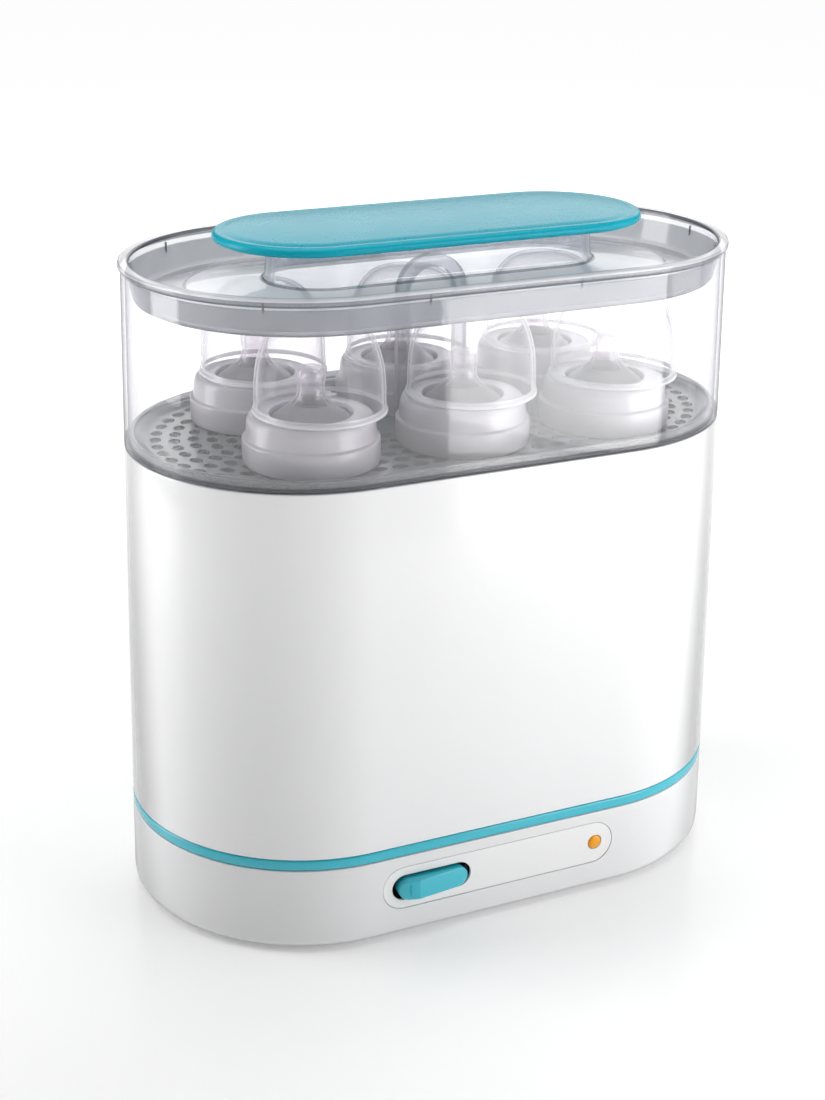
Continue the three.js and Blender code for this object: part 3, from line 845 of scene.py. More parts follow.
def slab(
    name: str,
    outline: Sequence[tuple[float, float]],
    y0: float,
    y1: float,
    material: bpy.types.Material,
    bevel: float = 0.0,
) -> bpy.types.Object:
    """Plate that stands in the XZ plane, with bevelled edges.

    Args:
        name: piece name.
        outline: (x, z) corners in millimetres.
        y0: front face.
        y1: back face.
        material: material of every face.
        bevel: width of the rounded edges in millimetres.

    Returns:
        The new piece.
    """
    mesh = bmesh.new()
    front = [mesh.verts.new(Vector((x, y0, z)) * MM) for x, z in outline]
    back = [mesh.verts.new(Vector((x, y1, z)) * MM) for x, z in outline]
    mesh.faces.new(front)
    mesh.faces.new(list(reversed(back)))
    for j in range(len(front)):
        k = (j + 1) % len(front)
        mesh.faces.new((front[k], front[j], back[j], back[k]))
    if bevel > 0:
        rims = [e for e in mesh.edges if abs(e.verts[0].co.y - e.verts[1].co.y) < 1e-9]
        bmesh.ops.bevel(
            mesh, geom=rims, offset=bevel * MM, segments=3, profile=0.6, affect="EDGES"
        )
    return MeshMaker.finish(name, mesh, material)


def slot_outline(
    x: float, z: float, length: float, width: float, steps: int = 16
) -> list[tuple[float, float]]:
    """(x, z) corners of a slot that lies along X."""
    half = (length - width) / 2
    points = []
    for side in (1, -1):
        for i in range(steps + 1):
            angle = -math.pi / 2 + math.pi * i / steps
            points.append(
                (
                    x + side * (half + width / 2 * math.cos(angle)),
                    z + side * width / 2 * math.sin(angle),
                )
            )
    return points


def rod_along_y(
    name: str, x: float, z: float, r: float, y0: float, y1: float, material: bpy.types.Material
) -> bpy.types.Object:
    """Round bar from front to back, used as a cutter."""
    outline = [
        (x + r * math.cos(2 * math.pi * i / 40), z + r * math.sin(2 * math.pi * i / 40))
        for i in range(40)
    ]
    return slab(name, outline, y0, y1, material)


def cut(piece: bpy.types.Object, cutters: Iterable[bpy.types.Object]) -> bpy.types.Object:
    """Subtracts each cutter from a piece and removes the cutters.

    Args:
        piece: the body that is cut.
        cutters: closed bodies to take away.

    Returns:
        The plain cut piece, under the same name.
    """
    name = piece.name
    piece.name = name + "_uncut"
    tools = list(cutters)
    for tool in tools:
        step = piece.modifiers.new("cut", "BOOLEAN")
        step.operation = "DIFFERENCE"
        step.solver = "EXACT"
        step.object = tool
    made = MeshMaker.settled(piece, name)
    for tool in tools:
        bpy.data.objects.remove(tool)
    return made


def joined(name: str, parts: Sequence[bpy.types.Object]) -> bpy.types.Object:
    """One object from several, without merging their skins.

    Args:
        name: name of the result.
        parts: pieces with the same material list; they are removed.

    Returns:
        The joined piece.
    """
    mesh = bmesh.new()
    for part in parts:
        mesh.from_mesh(part.data)
    data = bpy.data.meshes.new(name)
    mesh.to_mesh(data)
    mesh.free()
    data.materials.append(parts[0].data.materials[0])
    for part in parts:
        bpy.data.objects.remove(part)
    piece = bpy.data.objects.new(name, data)
    bpy.context.scene.collection.objects.link(piece)
    return piece


# ---------------------------------------------------------------------------------------
# Geometry Nodes
# ---------------------------------------------------------------------------------------


class GrowthTree:
    """Geometry Nodes tree with named inputs, worked into a plain mesh."""

    def __init__(self, name: str) -> None:
        """Makes a tree with one geometry input and one geometry output."""
        self.tree = bpy.data.node_groups.new(name, "GeometryNodeTree")
        self.tree.is_modifier = True
        face = self.tree.interface
        face.new_socket("Geometry", in_out="INPUT", socket_type="NodeSocketGeometry")
        face.new_socket("Geometry", in_out="OUTPUT", socket_type="NodeSocketGeometry")
        self.given: dict[str, tuple[str, Any]] = {}
        self.entry = self.tree.nodes.new("NodeGroupInput")
        self.exit = self.tree.nodes.new("NodeGroupOutput")

    def size(self, name: str, value: Any, kind: str = "NodeSocketFloat") -> bpy.types.NodeSocket:
        """Adds a named input.

        Args:
            name: input name.
            value: its value, set on the modifier by the socket's identifier.
            kind: socket type.

        Returns:
            The input's socket inside the tree.
        """
        item = self.tree.interface.new_socket(name, in_out="INPUT", socket_type=kind)
        self.given[name] = (item.identifier, value)
        return self.entry.outputs[name]

    def node(self, kind: str, settings: dict[str, Any], sockets: dict[Any, Any]) -> bpy.types.Node:
        """Adds a node; sockets map an input name or number to a value or an output socket."""
        made = self.tree.nodes.new(kind)
        for key, value in settings.items():
            setattr(made, key, value)
        for key, value in sockets.items():
            if isinstance(value, bpy.types.NodeSocket):
                self.tree.links.new(value, made.inputs[key])
            else:
                made.inputs[key].default_value = value
        return made

    def grow(
        self,
        name: str,
        result: bpy.types.NodeSocket,
        material: bpy.types.Material,
        base: Optional[bpy.types.Object] = None,
        sharp: float = 38.0,
    ) -> bpy.types.Object:
        """Ends the tree, evaluates it and returns a plain mesh.

        Args:
            name: piece name.
            result: geometry socket that the tree gives out.
            material: material set on the whole result.
            base: object that the tree works on, or none for an empty one.
            sharp: edge angle in degrees from which an edge stays sharp.

        Returns:
            The plain piece, with no modifier left.
        """
        real = self.node("GeometryNodeRealizeInstances", {}, {"Geometry": result})
        dress = self.node(
            "GeometryNodeSetMaterial", {}, {"Geometry": real.outputs[0], "Material": material}
        )
        self.tree.links.new(dress.outputs[0], self.exit.inputs[0])
        if base is None:
            base = bpy.data.objects.new(name + "_seed", bpy.data.meshes.new(name + "_seed"))
            bpy.context.scene.collection.objects.link(base)
        growth = base.modifiers.new("growth", "NODES")
        growth.node_group = self.tree
        for identifier, value in self.given.values():
            growth[identifier] = value
        if base.name == name:
            base.name = name + "_seed"
        made = MeshMaker.settled(base, name, sharp)
        if not made.data.materials:
            made.data.materials.append(material)
        bpy.data.node_groups.remove(self.tree)
        return made


def oval_path(
    tree: GrowthTree, a: bpy.types.NodeSocket, r: bpy.types.NodeSocket, z: Any
) -> bpy.types.NodeSocket:
    """Curve that follows an oval in a level plane.

    Args:
        tree: tree that gets the nodes.
        a: half straight side, in metres.
        r: radius, in metres.
        z: height, in metres.

    Returns:
        The curve's geometry socket.
    """
    total = tree.node("ShaderNodeMath", {"operation": "ADD"}, {0: a, 1: r}).outputs[0]
    width = tree.node("ShaderNodeMath", {"operation": "MULTIPLY"}, {0: total, 1: 2.0}).outputs[0]
    depth = tree.node("ShaderNodeMath", {"operation": "MULTIPLY"}, {0: r, 1: 2.0}).outputs[0]
    frame_curve = tree.node(
        "GeometryNodeCurvePrimitiveQuadrilateral", {}, {"Width": width, "Height": depth}
    )
    rounding = tree.node("ShaderNodeMath", {"operation": "MULTIPLY"}, {0: r, 1: 0.99999})
    soft = tree.node(
        "GeometryNodeFilletCurve",
        {"mode": "POLY"},
        {"Curve": frame_curve.outputs[0], "Count": 24, "Radius": rounding.outputs[0]},
    )
    lift = tree.node("ShaderNodeCombineXYZ", {}, {2: z}).outputs[0]
    return tree.node(
        "GeometryNodeTransform", {}, {"Geometry": soft.outputs[0], "Translation": lift}
    ).outputs[0]


def perforate(
    piece: bpy.types.Object,
    material: bpy.types.Material,
    rows: Sequence[tuple[float, float]],
    z: float,
    length: float,
    width: float,
    pitch: float,
) -> bpy.types.Object:
    """Cuts oval drain holes along concentric ovals through a floor.

    Args:
        piece: body whose floor is cut.
        material: material of the result.
        rows: (half straight side, radius) of each row, in millimetres.
        z: height of the floor's middle, in millimetres.
        length: hole length along its row, in millimetres.
        width: hole width, in millimetres.
        pitch: distance between holes, in millimetres.

    Returns:
        The perforated piece, under the same name.
    """
    name = piece.name
    tree = GrowthTree(name + "_holes")
    hole_length = tree.size("Hole length", length * MM)
    hole_width = tree.size("Hole width", width * MM)
    spacing = tree.size("Spacing", pitch * MM)
    level = tree.size("Level", z * MM)
    gather = tree.node("GeometryNodeJoinGeometry", {}, {})
    for a, r in rows:
        half = tree.size(f"Straight {r:g}", a * MM)
        radius = tree.size(f"Radius {r:g}", r * MM)
        path = oval_path(tree, half, radius, level)
        along = tree.node(
            "GeometryNodeCurveToPoints", {"mode": "LENGTH"}, {"Curve": path, "Length": spacing}
        )
        cutter = tree.node(
            "GeometryNodeMeshCylinder",
            {},
            {"Vertices": 12, "Radius": 0.5, "Depth": 6.0 * MM},
        )
        shape = tree.node("ShaderNodeCombineXYZ", {}, {0: hole_width, 1: hole_length, 2: 1.0})
        spun = tree.node(
            "FunctionNodeAlignEulerToVector",
            {"axis": "Y"},
            {"Vector": along.outputs["Tangent"]},
        )
        holes = tree.node(
            "GeometryNodeInstanceOnPoints",
            {},
            {
                "Points": along.outputs["Points"],
                "Instance": cutter.outputs[0],
                "Rotation": spun.outputs[0],
                "Scale": shape.outputs[0],
            },
        )
        tree.tree.links.new(holes.outputs[0], gather.inputs[0])
    tools = tree.node("GeometryNodeRealizeInstances", {}, {"Geometry": gather.outputs[0]})
    carve = tree.node("GeometryNodeMeshBoolean", {"operation": "DIFFERENCE"}, {})
    tree.tree.links.new(tree.entry.outputs[0], carve.inputs["Mesh 1"])
    tree.tree.links.new(tools.outputs[0], carve.inputs["Mesh 2"])
    return tree.grow(name, carve.outputs[0], material, piece)


def slot_grid(
    piece: bpy.types.Object,
    material: bpy.types.Material,
    count: tuple[int, int],
    spread: tuple[float, float],
    slot: tuple[float, float, float],
    centre: tuple[float, float, float],
    upright: bool = False,
) -> bpy.types.Object:
    """Cuts a grid of round-ended slots through a plate.

    Args:
        piece: body that is cut.
        material: material of the result.
        count: slots along X and along the other direction.
        spread: distance between the outermost slots along both, in millimetres.
        slot: slot width, slot length and cutter depth, in millimetres.
        centre: centre of the grid, in millimetres.
        upright: True for a plate in the XZ plane, False for one in the XY plane.

    Returns:
        The slotted piece, under the same name.
    """
    name = piece.name
    tree = GrowthTree(name + "_slots")
    width = tree.size("Slot width", slot[0] * MM)
    length = tree.size("Slot length", slot[1] * MM)
    depth = tree.size("Cutter depth", slot[2] * MM)
    span_x = tree.size("Span X", spread[0] * MM)
    span_y = tree.size("Span Y", spread[1] * MM)
    grid = tree.node(
        "GeometryNodeMeshGrid",
        {},
        {"Size X": span_x, "Size Y": span_y, "Vertices X": count[0], "Vertices Y": count[1]},
    )
    outline = tree.node(
        "GeometryNodeCurvePrimitiveQuadrilateral", {}, {"Width": width, "Height": length}
    )
    end = tree.node("ShaderNodeMath", {"operation": "MULTIPLY"}, {0: width, 1: 0.4999})
    rounded = tree.node(
        "GeometryNodeFilletCurve",
        {"mode": "POLY"},
        {"Curve": outline.outputs[0], "Count": 6, "Radius": end.outputs[0]},
    )
    sheet = tree.node("GeometryNodeFillCurve", {"mode": "NGONS"}, {"Curve": rounded.outputs[0]})
    push = tree.node(
        "GeometryNodeExtrudeMesh",
        {},
        {"Mesh": sheet.outputs[0], "Offset": (0.0, 0.0, 1.0), "Offset Scale": depth},
    )
    flipped = tree.node("GeometryNodeFlipFaces", {}, {"Mesh": sheet.outputs[0]})
    closed = tree.node("GeometryNodeJoinGeometry", {}, {})
    tree.tree.links.new(flipped.outputs[0], closed.inputs[0])
    tree.tree.links.new(push.outputs[0], closed.inputs[0])
    welded = tree.node(
        "GeometryNodeMergeByDistance", {}, {"Geometry": closed.outputs[0], "Distance": 1e-6}
    )
    sunk = tree.node("ShaderNodeMath", {"operation": "MULTIPLY"}, {0: depth, 1: -0.5})
    drop = tree.node("ShaderNodeCombineXYZ", {}, {2: sunk.outputs[0]})
    cutter = tree.node(
        "GeometryNodeTransform",
        {},
        {"Geometry": welded.outputs[0], "Translation": drop.outputs[0]},
    )
    copies = tree.node(
        "GeometryNodeInstanceOnPoints",
        {},
        {"Points": grid.outputs[0], "Instance": cutter.outputs[0]},
    )
    real = tree.node("GeometryNodeRealizeInstances", {}, {"Geometry": copies.outputs[0]})
    turn = (math.pi / 2, 0.0, 0.0) if upright else (0.0, 0.0, 0.0)
    moved = tree.node(
        "GeometryNodeTransform",
        {},
        {
            "Geometry": real.outputs[0],
            "Translation": tuple(Vector(centre) * MM),
            "Rotation": turn,
        },
    )
    carve = tree.node("GeometryNodeMeshBoolean", {"operation": "DIFFERENCE"}, {})
    tree.tree.links.new(tree.entry.outputs[0], carve.inputs["Mesh 1"])
    tree.tree.links.new(moved.outputs[0], carve.inputs["Mesh 2"])
    return tree.grow(name, carve.outputs[0], material, piece)


def swept_band(
    name: str,
    a: float,
    r: float,
    z: float,
    width: float,
    height: float,
    rounding: float,
    material: bpy.types.Material,
) -> bpy.types.Object:
    """Band of rounded rectangular section that follows an oval.

    Args:
        name: piece name.
        a: half straight side of the band's centre line, in millimetres.
        r: radius of the centre line.
        z: height of the centre line.
        width: section width.
        height: section height.
        rounding: section corner radius.
        material: material of the band.

    Returns:
        The new piece.
    """
    tree = GrowthTree(name + "_sweep")
    path = oval_path(
        tree, tree.size("Half straight", a * MM), tree.size("Radius", r * MM),
        tree.size("Level", z * MM),
    )
    section = tree.node(
        "GeometryNodeCurvePrimitiveQuadrilateral",
        {},
        {"Width": tree.size("Width", width * MM), "Height": tree.size("Height", height * MM)},
    )
    soft = tree.node(
        "GeometryNodeFilletCurve",
        {"mode": "POLY"},
        {"Curve": section.outputs[0], "Count": 4, "Radius": tree.size("Rounding", rounding * MM)},
    )
    swept = tree.node(
        "GeometryNodeCurveToMesh", {}, {"Curve": path, "Profile Curve": soft.outputs[0]}
    )
    return tree.grow(name, swept.outputs[0], material)


# ---------------------------------------------------------------------------------------
# Sub-assemblies
# ---------------------------------------------------------------------------------------


@dataclass
class Assembly:
    """Common ground of the sub-assemblies: the palette, and how pieces are entered."""

    palette: Palette
    body: str = ""

    def enter(
        self, piece: bpy.types.Object, slot: str, *nodes: str, body: Optional[str] = None
    ) -> bpy.types.Object:
        """Rides a piece on its body, says what it stands for and reports it.

        Args:
            piece: finished piece.
            slot: material slot of the record; not used.
            nodes: CAD nodes that it replaces.
            body: body it rides on, if it isn't the assembly's own.

        Returns:
            The same piece.
        """
        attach(piece, body or self.body)
        if nodes:
            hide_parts(*nodes)
        LOG.info("%s: %d faces, stands for %s", piece.name, len(piece.data.polygons), nodes)
        return piece

    def dress(self, finish: Finish, *nodes: str) -> None:
        """Gives kept CAD nodes a finish."""
        for name in nodes:
            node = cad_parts[name]
            node.data.materials.clear()
            node.data.materials.append(self.palette[finish])
            LOG.info("%s: kept, %s", name, finish.name)


@dataclass
class Base(Assembly):
    """Base unit: housing, accent ring, basin and heater, control panel and key."""

    body: str = "base"
    panel_z: float = 26.2
    key_x: float = -35.8
    lens_x: float = 51.2
    hole: tuple[float, float] = (40.4, 13.0)
    panel: tuple[float, float] = (121.0, 21.2)
    housing: tuple[Corner, ...] = (
        Corner(73, 2, 0.3),
        Corner(83.77, 2, 11.0),
        Corner(83.19, 42.4, 0.7),
        Corner(70, 42.4, 0.5),
        Corner(70, 39.6, 0.5),
        Corner(80.57, 39.6, 1.0),
        Corner(80.97, 4.6, 8.0),
        Corner(73, 4.6, 0.5),
    )
    basin: tuple[Corner, ...] = (
        Corner(47.0, 26, 0.3, 0.0),
        Corner(47.0, 28, 0.3, 0.0),
        Corner(67.5, 28, 3.6),
        Corner(67.8, 44.2, 1.0),
        Corner(76, 44.2, 0.4),
        Corner(76, 42.7, 0.3),
        Corner(69.7, 42.7, 0.5),
        Corner(69.6, 26, 4.0),
    )

    def build(self) -> None:
        """Makes and dresses every piece of the base."""
        self._housing()
        self._ring()
        self._basin()
        self._heater()
        self._panel()
        self._key()
        self._gland()
        self._vents()
        self.dress(Finish.RUBBER, "heater_seal", "foot_1", "foot_2", "foot_3", "foot_4")
        self.dress(Finish.STEEL, *[f"base_screw_{i}" for i in range(1, 5)])
        self.dress(Finish.STEEL, "heating_element", "thermostat", "thermal_fuse", "rocker_pin")
        self.dress(Finish.BOARD, "control_board")
        self.dress(Finish.AMBER, "indicator_led")
        self.dress(Finish.DARK, "switch_module")
        self.dress(Finish.RING_MILK, "terminal_block")
        self.dress(Finish.LEAD, "lead_left", "lead_right", "lead_switch")

    def _housing(self) -> None:
        """Outer shell with the panel's seat, the switch and lens openings and the cord hole."""
        skin = swept_oval("housing_shell", self.housing, self.palette[Finish.BASE_WHITE], steps=56)
        any_material = self.palette[Finish.BASE_WHITE]
        seat = slot_outline(0, self.panel_z, self.panel[0] + 0.6, self.panel[1] + 0.6, 24)
        opening = slot_outline(self.key_x, self.panel_z, self.hole[0] + 1.4, self.hole[1] + 1.4)
        shell = cut(
            skin,
            [
                slab("seat_cutter", seat, -90, -81.7, any_material),
                slab("switch_cutter", opening, -91, -75, any_material),
                rod_along_y("lens_cutter", self.lens_x, self.panel_z, 4.3, -91, -75, any_material),
                rod_along_y("cord_cutter", 40, 14, 5.6, 75, 91, any_material),
            ],
        )
        self.enter(shell, "white_base", "base_housing")

    def _ring(self) -> None:
        """Coloured ring between the base and the large basket."""
        band = swept_band(
            "accent_band", 65, 79.75, 45.25, 6.7, 5.1, 0.9, self.palette[Finish.TEAL_GLOSS]
        )
        self.enter(band, "teal", "accent_ring")

    def _basin(self) -> None:
        """Shallow tub over the heater."""
        tub = swept_oval(
            "basin_tub",
            [Corner(c.r, c.z, c.rounding, c.a) for c in self.basin],
            self.palette[Finish.BASIN_GREY],
            steps=40,
        )
        self.enter(tub, "basin_grey", "water_basin")

    def _heater(self) -> None:
        """Round heating plate with a dished top and two shallow rings."""
        plate = turned(
            "heater_disc",
            [
                Corner(0, 23),
                Corner(45.9, 23, 0.6),
                Corner(45.9, 29.6, 0.2),
                Corner(50, 29.6, 0.2),
                Corner(50, 31.5, 1.0),
                Corner(43, 31.5, 1.4),
                Corner(39, 30.3, 1.4),
                Corner(22, 30.1, 0.6),
                Corner(21, 30.5, 0.6),
                Corner(19, 30.5, 0.6),
                Corner(18, 30.1, 0.6),
                Corner(0, 30.1),
            ],
            (0, 0),
            self.palette[Finish.HEATER],
            96,
            3,
        )
        self.enter(plate, "plate_metal", "heating_plate")

    def _panel(self) -> None:
        """Inset control panel and its lens."""
        strip = slab(
            "control_strip",
            slot_outline(0, self.panel_z, self.panel[0], self.panel[1], 28),
            -83.2,
            -82.0,
            self.palette[Finish.PANEL_WHITE],
            0.35,
        )
        hole = slot_outline(self.key_x, self.panel_z, self.hole[0], self.hole[1], 20)
        cutters = [
            slab("key_hole", hole, -90, -75, self.palette[Finish.PANEL_WHITE]),
            rod_along_y(
                "lens_hole", self.lens_x, self.panel_z, 3.8, -90, -75,
                self.palette[Finish.PANEL_WHITE],
            ),
        ]
        self.enter(cut(strip, cutters), "white_base", "control_panel")
        lens = turned(
            "lens_cap",
            [
                Corner(0, -80.6),
                Corner(3.5, -80.6, 0.3),
                Corner(3.5, -83.3, 1.0),
                Corner(2.4, -83.9, 0.8),
                Corner(0, -84.1),
            ],
            (0, 0),
            self.palette[Finish.AMBER],
            40,
        )
        lay = Matrix.Translation(Vector((self.lens_x, 0, self.panel_z)) * MM)
        lens.data.transform(lay @ Matrix.Rotation(math.radians(-90), 4, "X"))
        self.enter(lens, "amber", "indicator_lens")

    def _key(self) -> None:
        """Rocker key: a round-ended bar with a creased face, and its on mark."""
        x0, x1 = self.key_x - 17.8, self.key_x + 17.8
        z0, z1 = self.panel_z - 5, self.panel_z + 5
        mesh = bmesh.new()
        plan = [(x0, -80.6), (x1, -80.6), (x1, -85.0), (-44.0, -88.2), (x0, -85.6)]
        low = [mesh.verts.new(Vector((x, y, z0 - 1)) * MM) for x, y in plan]
        high = [mesh.verts.new(Vector((x, y, z1 + 1)) * MM) for x, y in plan]
        mesh.faces.new(list(reversed(low)))
        mesh.faces.new(high)
        for j in range(len(plan)):
            k = (j + 1) % len(plan)
            mesh.faces.new((low[j], low[k], high[k], high[j]))
        block = MeshMaker.finish("rocker_cap", mesh, self.palette[Finish.TEAL_GLOSS])
        outline = slot_outline(self.key_x, self.panel_z, x1 - x0, z1 - z0, 20)
        mould = slab("key_mould", outline, -95, -75, self.palette[Finish.TEAL_GLOSS])
        meet = block.modifiers.new("meet", "BOOLEAN")
        meet.operation = "INTERSECT"
        meet.solver = "EXACT"
        meet.object = mould
        soft = block.modifiers.new("soft", "BEVEL")
        soft.width = 0.55 * MM
        soft.segments = 3
        soft.limit_method = "ANGLE"
        soft.angle_limit = math.radians(15)
        block.name = "rocker_cap_raw"
        cap = MeshMaker.settled(block, "rocker_cap", 50)
        bpy.data.objects.remove(mould)
        tail = slab(
            "key_tail",
            [(self.key_x - 5, z0 + 0.5), (self.key_x + 5, z0 + 0.5),
             (self.key_x + 5, z1 - 0.5), (self.key_x - 5, z1 - 0.5)],
            -80.65,
            -72.8,
            self.palette[Finish.TEAL_GLOSS],
            0.4,
        )
        self.enter(joined("rocker_key", [cap, tail]), "teal", "power_rocker", body="rocker")
        mark = slab(
            "key_mark",
            slot_outline(0, 0, 5.2, 0.8, 6),
            -0.15,
            0.15,
            self.palette[Finish.TEAL_SATIN],
        )
        turn = Matrix.Rotation(math.radians(-15.2), 4, "Z") @ Matrix.Rotation(math.pi / 2, 4, "Y")
        spot = Matrix.Translation(Vector((-48.2, -87.12, self.panel_z)) * MM)
        mark.data.transform(spot @ turn)
        self.enter(mark, "teal", body="rocker")

    def _gland(self) -> None:
        """Cord bush in the back wall."""
        low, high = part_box("cord_gland")
        back = high.y / MM
        bush = turned(
            "cord_bush",
            [
                Corner(3, -78, 0.3),
                Corner(5.2, -78, 0.5),
                Corner(5.2, -(back - 2.2), 0.3),
                Corner(7.4, -(back - 2.2), 0.3),
                Corner(7.0, -back, 0.8),
                Corner(3.4, -back, 0.6),
                Corner(3, -(back - 1), 0.3),
            ],
            (0, 0),
            self.palette[Finish.DARK],
            40,
        )
        centre = (low + high) / 2
        lay = Matrix.Translation(Vector((centre.x, 0, 0.014)))
        bush.data.transform(lay @ Matrix.Rotation(math.radians(90), 4, "X"))
        self.enter(bush, "dark_plastic", "cord_gland")

    def _vents(self) -> None:
        """Base plate with rows of cooling slots."""
        sheet = swept_oval(
            "cover_plate",
            [Corner(30, 2, 0, 65), Corner(72.6, 2, 0.4), Corner(72.6, 4.5, 0.4), Corner(30, 4.5)],
            self.palette[Finish.DARK],
            capped=True,
            steps=40,
        )
        cutters = []
        for index in range(1, 5):
            low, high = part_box(f"foot_{index}")
            middle = (low + high) / 2 / MM
            seat = [Corner(0, 1), Corner(7.3, 1), Corner(7.3, 3), Corner(0, 3)]
            cutters.append(
                turned("seat", seat, (middle.x, middle.y), self.palette[Finish.DARK], 40)
            )
            low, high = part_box(f"base_screw_{index}")
            middle = (low + high) / 2 / MM
            hole = [Corner(0, 1), Corner(1.8, 1), Corner(1.8, 6), Corner(0, 6)]
            cutters.append(
                turned("hole", hole, (middle.x, middle.y), self.palette[Finish.DARK], 24)
            )
        plate = cut(sheet, cutters)
        vented = slot_grid(
            plate, self.palette[Finish.DARK], (9, 2), (64, 52), (3, 20, 8), (0, 0, 3.2)
        )
        self.enter(vented, "dark_plastic", "base_plate")


@dataclass
class LargeBasket(Assembly):
    """Tall white wall on a slotted floor, with the folding divider hinged in it."""

    body: str = "basket"
    section: tuple[Corner, ...] = (
        Corner(40, 52),
        Corner(80.6, 52, 4.0),
        Corner(77.9, 211, 2.0),
        Corner(75.6, 213.6, 0.6),
        Corner(75.6, 215.9, 0.5),
        Corner(77.8, 215.9, 0.4),
        Corner(77.7, 221.5, 0.5),
        Corner(80.0, 221.5, 0.7),
        Corner(83.09, 48, 0.8),
        Corner(75.9, 48, 0.5),
        Corner(75.9, 44.8, 0.4),
        Corner(73.9, 44.8, 0.4),
        Corner(73.9, 49.6, 1.0),
        Corner(40, 49.6),
    )

    def build(self) -> None:
        """Makes and dresses the basket and the divider."""
        white = self.palette[Finish.BODY_WHITE]
        wall = swept_oval("basket_wall", self.section, white, capped=True, steps=64)
        slotted = slot_grid(wall, white, (15, 2), (196, 72), (5, 46, 8), (0, 0, 51))
        lugs = []
        for side in (-1, 1):
            profile = [(-4.5, 51.9), (4.5, 51.9), (4.5, 58), (2.2, 61), (-2.2, 61), (-4.5, 58)]
            lug = slab("lug", profile, -1.6, 1.6, white, 0.3)
            lug.data.transform(Matrix.Rotation(math.pi / 2, 4, "Z"))
            lug.data.transform(Matrix.Translation((side * 51.6 * MM, 0, 0)))
            lugs.append(lug)
        self.enter(joined("large_basket_shell", [slotted, *lugs]), "white_body", "large_basket")
        self._divider()

    def _divider(self) -> None:
        """Folding divider plate with slots, a top bead and its pins."""
        smoke = self.palette[Finish.SMOKE]
        outline = [(-49.6, 55.6), (49.6, 55.6), (49.6, 121), (45.6, 125), (-45.6, 125), (-49.6, 121)]
        sheet = slab("divider_sheet", outline, -1.2, 1.2, smoke, 0.4)
        slotted = slot_grid(
            sheet, smoke, (7, 1), (84, 1), (7, 42, 8), (0, 0, 89), upright=True
        )
        bead = rod_along_y("bead", 0, 0, 2.0, -45, 45, smoke)
        bead.data.transform(
            Matrix.Translation((0, 0, 123 * MM)) @ Matrix.Rotation(math.pi / 2, 4, "Z")
        )
        pins = rod_along_y("pins", 0, 0, 1.6, -53.8, 53.8, smoke)
        pins.data.transform(
            Matrix.Translation((0, 0, 57 * MM)) @ Matrix.Rotation(math.pi / 2, 4, "Z")
        )
        piece = joined("divider_plate", [slotted, bead, pins])
        self.enter(piece, "smoke", "fold_plate", body="divider")


@dataclass
class SmallBasket(Assembly):
    """Smoky tray with drain holes and an arched handle."""

    body: str = "tray"
    section: tuple[Corner, ...] = (
        Corner(2, 221.8),
        Corner(70.5, 221.8, 3.0),
        Corner(75.3, 224.8, 1.2),
        Corner(75.5, 226.5, 0.5),
        Corner(77.1, 226.5, 0.5),
        Corner(77.3, 216.2, 0.4),
        Corner(75.7, 216.2, 0.4),
        Corner(75.7, 219.8, 1.0),
        Corner(2, 219.8),
    )

    def build(self) -> None:
        """Makes and dresses the tray and its handle."""
        smoke = self.palette[Finish.SMOKE]
        tray = swept_oval("tray_pan", self.section, smoke, capped=True, steps=56)
        rows = [(65, r) for r in (66, 57.5, 49, 40.5, 32, 23.5, 15)]
        drained = perforate(tray, smoke, rows, 220.8, 7.4, 5.4, 10.0)
        self.enter(drained, "smoke", "small_basket_tray")
        self._handle()

    def _handle(self) -> None:
        """Arched carrying handle with rounded edges."""
        low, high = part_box("basket_handle")
        radius, bar = 17.4, 5.8
        centre = high.z / MM - radius
        foot = low.z / MM
        outline = [(radius, foot)]
        outline += [
            (radius * math.cos(math.pi * i / 28), centre + radius * math.sin(math.pi * i / 28))
            for i in range(29)
        ]
        outline += [(-radius, foot), (-radius + bar, foot)]
        inner = radius - bar
        outline += [
            (-inner * math.cos(math.pi * i / 28), centre + inner * math.sin(math.pi * i / 28))
            for i in range(29)
        ]
        outline += [(inner, foot)]
        arch = slab("tray_handle", outline, -2.2, 2.2, self.palette[Finish.SMOKE_CLEAR], 0.9)
        self.enter(arch, "smoke", "basket_handle")


